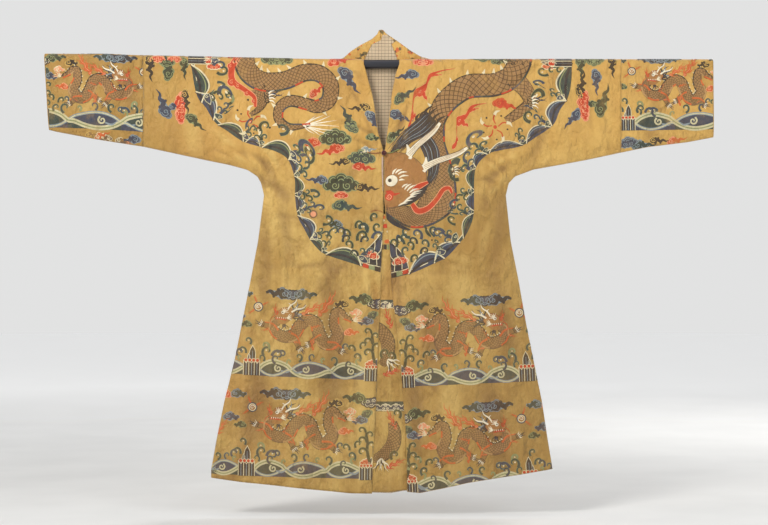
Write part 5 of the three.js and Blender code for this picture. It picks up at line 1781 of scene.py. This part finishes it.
def tube(path, radius, around=8, closed=False):
    """Rings of places around a path, in millimetres, and their faces."""
    path = np.array(path, float)
    along = np.gradient(path, axis=0)
    if closed:
        along = np.roll(path, -1, 0) - np.roll(path, 1, 0)
    along /= np.linalg.norm(along, axis=1)[:, None]
    up = np.tile([0.13, 0.96, 0.24], (len(path), 1))
    first = np.cross(along, up)
    first /= np.linalg.norm(first, axis=1)[:, None]
    second = np.cross(along, first)
    angles = np.linspace(0, 2 * math.pi, around, endpoint=False)
    radius = np.broadcast_to(radius, len(path))[:, None, None]
    rings = path[:, None] + radius * (first[:, None] * np.cos(angles)[None, :, None]
                                      + second[:, None] * np.sin(angles)[None, :, None])
    ids = np.arange(len(path) * around).reshape(len(path), around)
    if closed:
        ids = np.vstack([ids, ids[:1]])
    nxt = np.roll(ids, -1, 1)
    quads = np.stack([ids[:-1], nxt[:-1], nxt[1:], ids[1:]], -1).reshape(-1, 4)
    return rings.reshape(-1, 3), quads


def joined(name, parts, material, node):
    """One piece of several tubes, in place of a CAD node."""
    vertices, faces, base = [], [], 0
    for points, quads in parts:
        vertices.append(points)
        faces.append(quads + base)
        base += len(points)
    made = new_object(name, np.concatenate(vertices), np.concatenate(faces))
    made.data.materials.append(material)
    return declare(made, node)


def knot_path(radius, turns=3, bends=5, over=0.75):
    """A band that crosses over and under itself round a ball."""
    t = np.linspace(0, 2 * math.pi, 220, endpoint=False)
    around, lift = turns * t, 0.95 * np.sin(bends * t)
    out = radius + over * np.cos(2 * bends * t)
    return np.stack([out * np.cos(lift) * np.cos(around), out * np.sin(lift),
                     out * np.cos(lift) * np.sin(around)], 1)


TWIST = 0.22  # turns to a millimetre


def twisted(centre, radius, count=2):
    """Thin strands wound round each other along a path of x, y, z."""
    centre = np.array(centre, float)
    line = smooth(centre, 0.7)
    run = np.concatenate([[0], np.cumsum(np.linalg.norm(np.diff(line, axis=0), axis=1))])
    along = np.gradient(line, axis=0)
    along /= np.linalg.norm(along, axis=1)[:, None]
    first = np.cross(along, [0, 1, 0])
    first /= np.linalg.norm(first, axis=1)[:, None]
    second = np.cross(along, first)
    parts = []
    for k in range(count):
        angle = (2 * math.pi * (TWIST * run + k / count))[:, None]
        offset = 0.5 * radius * (first * np.cos(angle) + second * np.sin(angle))
        parts.append(tube(line + offset, 0.52 * radius, 6))
    return parts


def centre_of(node):
    """The middle of a CAD node, in millimetres."""
    low, high = (np.array(corner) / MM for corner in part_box(node))
    return (low + high) / 2


def cord_rows(node, places):
    """Places across a front at the depth of the CAD cord they stand for."""
    return [(x, centre_of(node)[1], z) for x, z in places]


KNOT_OUTER, KNOT_INNER, KNOT_CORD = 5.4, 4.2, 1.5
LOOP_CORD, STEM_CORD, THREAD = 1.5, 1.6, 0.9
ball = centre_of("button_knot")
knot = [tube(ball + knot_path(KNOT_OUTER), KNOT_CORD, 8, True),
        tube(ball + knot_path(KNOT_INNER, 4, 7, 0.4), KNOT_CORD, 8, True)]
joined("knotted_button", knot, BUTTON_SILK, "button_knot")
LOOP_PLACES = [(-37, -252), (-24, -254), (-10, -254.5), (1, -253)]
joined("loop_cord_piece", twisted(cord_rows("button_loop", LOOP_PLACES), LOOP_CORD), LOOP_SILK,
       "button_loop")
STEM_PLACES = [(21.5, -254), (32, -253), (43, -248), (54, -243)]
joined("stem_cord_piece", twisted(cord_rows("button_stem", STEM_PLACES), STEM_CORD), STEM_SILK,
       "button_stem")
THREAD_PLACES = [(-28, -421), (-12, -418), (2, -420), (8, -423)]
joined("second_loop_threads_piece", twisted(cord_rows("second_loop_threads", THREAD_PLACES), THREAD, 3),
       LOOP_SILK, "second_loop_threads")

rod = bpy.data.objects["rod"]
for item in rod.material_slots:
    item.material = ROD_PAINT

# ---------------------------------------------------------------------------------------------
# Stage, lights and camera

VIEW_WIDTH, DISTANCE, SENSOR = 2.1888, 6.08, 0.036  # metres; the width is where the robe hangs
CENTRE = Vector((0.0114, -0.015, -0.566))
FLOOR, FLOOR_RADIUS, FLOOR_SIDES = -1.29, 16.0, 72
FAR_GLOW = 0.42  # lifts the far floor to the brightness of the pale band around it


def pale_floor():
    """A round pale floor that fades into the studio's pale surround on every side."""
    radii = np.array([0.0, 0.6, 1.2, 2.0, 3.0, 4.5, 7.0, 11.0, FLOOR_RADIUS])
    turns = np.linspace(0, 2 * math.pi, FLOOR_SIDES, endpoint=False)
    places = [(r * math.cos(a), r * math.sin(a), FLOOR) for r in radii for a in turns]
    ids = np.arange(len(places)).reshape(len(radii), FLOOR_SIDES)
    beside = np.roll(ids, -1, 1)
    faces = np.stack([ids[:-1], ids[1:], beside[1:], beside[:-1]], -1).reshape(-1, 4)
    made = new_object("pale_floor", np.array(places) / MM, faces)
    look = Look("pale_paper")
    grain = look.noise(3.0, detail=4)
    colour = look.mix(look.span(grain, 0.35, 0.65), srgb(226, 225, 222), srgb(232, 231, 228))
    parts = look.add("ShaderNodeSeparateXYZ", {"Vector": look.places}).outputs
    away = look.math("SQRT", look.math("ADD", look.math("MULTIPLY", parts["X"], parts["X"]),
                                       look.math("MULTIPLY", parts["Y"], parts["Y"])))
    glow = look.mix(look.span(away, 1.6, 6.5), (0, 0, 0, 1), (FAR_GLOW, FAR_GLOW, 0.99 * FAR_GLOW, 1))
    look.bump([(look.noise(300.0), 0.05, 0.0005)])
    paper = look.finish(colour, look.span(grain, 0.3, 0.7, 0.8, 0.9), Emission_Strength=1.0)
    shader = next(n for n in paper.node_tree.nodes if n.type == "BSDF_PRINCIPLED")
    paper.node_tree.links.new(glow, shader.inputs["Emission Color"])
    made.data.materials.append(paper)


def soft_surround():
    """Light from all round: a pale band at eye level and a quieter sky."""
    world = bpy.data.worlds.new("studio")
    bpy.context.scene.world = world
    world.use_nodes = True
    nodes, links = world.node_tree.nodes, world.node_tree.links
    way = nodes.new("ShaderNodeTexCoord").outputs["Generated"]
    split = nodes.new("ShaderNodeSeparateXYZ")
    links.new(way, split.inputs[0])
    rise = nodes.new("ShaderNodeMapRange")
    for name, value in (("From Min", 0.17), ("From Max", 0.34)):
        rise.inputs[name].default_value = value
    links.new(split.outputs["Z"], rise.inputs["Value"])
    blend = nodes.new("ShaderNodeMix")
    blend.data_type = "RGBA"
    colours = [i for i in blend.inputs if i.type == "RGBA"]
    colours[0].default_value, colours[1].default_value = (0.76, 0.762, 0.76, 1), (0.38, 0.39, 0.41, 1)
    links.new(rise.outputs["Result"], blend.inputs["Factor"])
    out = next(o for o in blend.outputs if o.type == "RGBA")
    links.new(out, nodes["Background"].inputs["Color"])
    nodes["Background"].inputs["Strength"].default_value = 1.0


LIGHTS = (  # place, aim, size in metres, watts, colour
    ("key", (-2.5, -3.8, 2.3), (0.1, 0, -0.5), (1.4, 1.4), 158, (1, 0.985, 0.95)),
    ("fill", (3.4, -4.2, 1.2), (0, 0, -0.6), (2.4, 2.4), 48, (0.98, 0.99, 1)),
    ("top", (0, -0.6, 2.8), (0, 0, -0.6), (3.0, 1.4), 22, (1, 1, 1)),
    ("behind", (2.8, 3.2, 1.8), (0, 0, -0.5), (2.0, 2.0), 90, (1, 0.99, 0.97)),
)


def area_light(name, place, aim, size, power, colour):
    data = bpy.data.lights.new(name, "AREA")
    data.shape, data.size, data.size_y = "RECTANGLE", *size
    data.energy, data.color = power, colour
    made = bpy.data.objects.new(name, data)
    made.location = place
    made.rotation_euler = (Vector(aim) - Vector(place)).to_track_quat("-Z", "Y").to_euler()
    made.visible_camera = False
    bpy.context.scene.collection.objects.link(made)


pale_floor()
soft_surround()
for light in LIGHTS:
    area_light(*light)

lens = bpy.data.cameras.new("camera")
lens.sensor_width, lens.lens = SENSOR / MM, SENSOR * DISTANCE / VIEW_WIDTH / MM
camera = bpy.data.objects.new("camera", lens)
camera.location = CENTRE + Vector((0, -DISTANCE, 0))
camera.rotation_euler = (math.radians(90), 0, 0)
bpy.context.scene.collection.objects.link(camera)
bpy.context.scene.camera = camera
bpy.context.scene.view_settings.view_transform = "Standard"
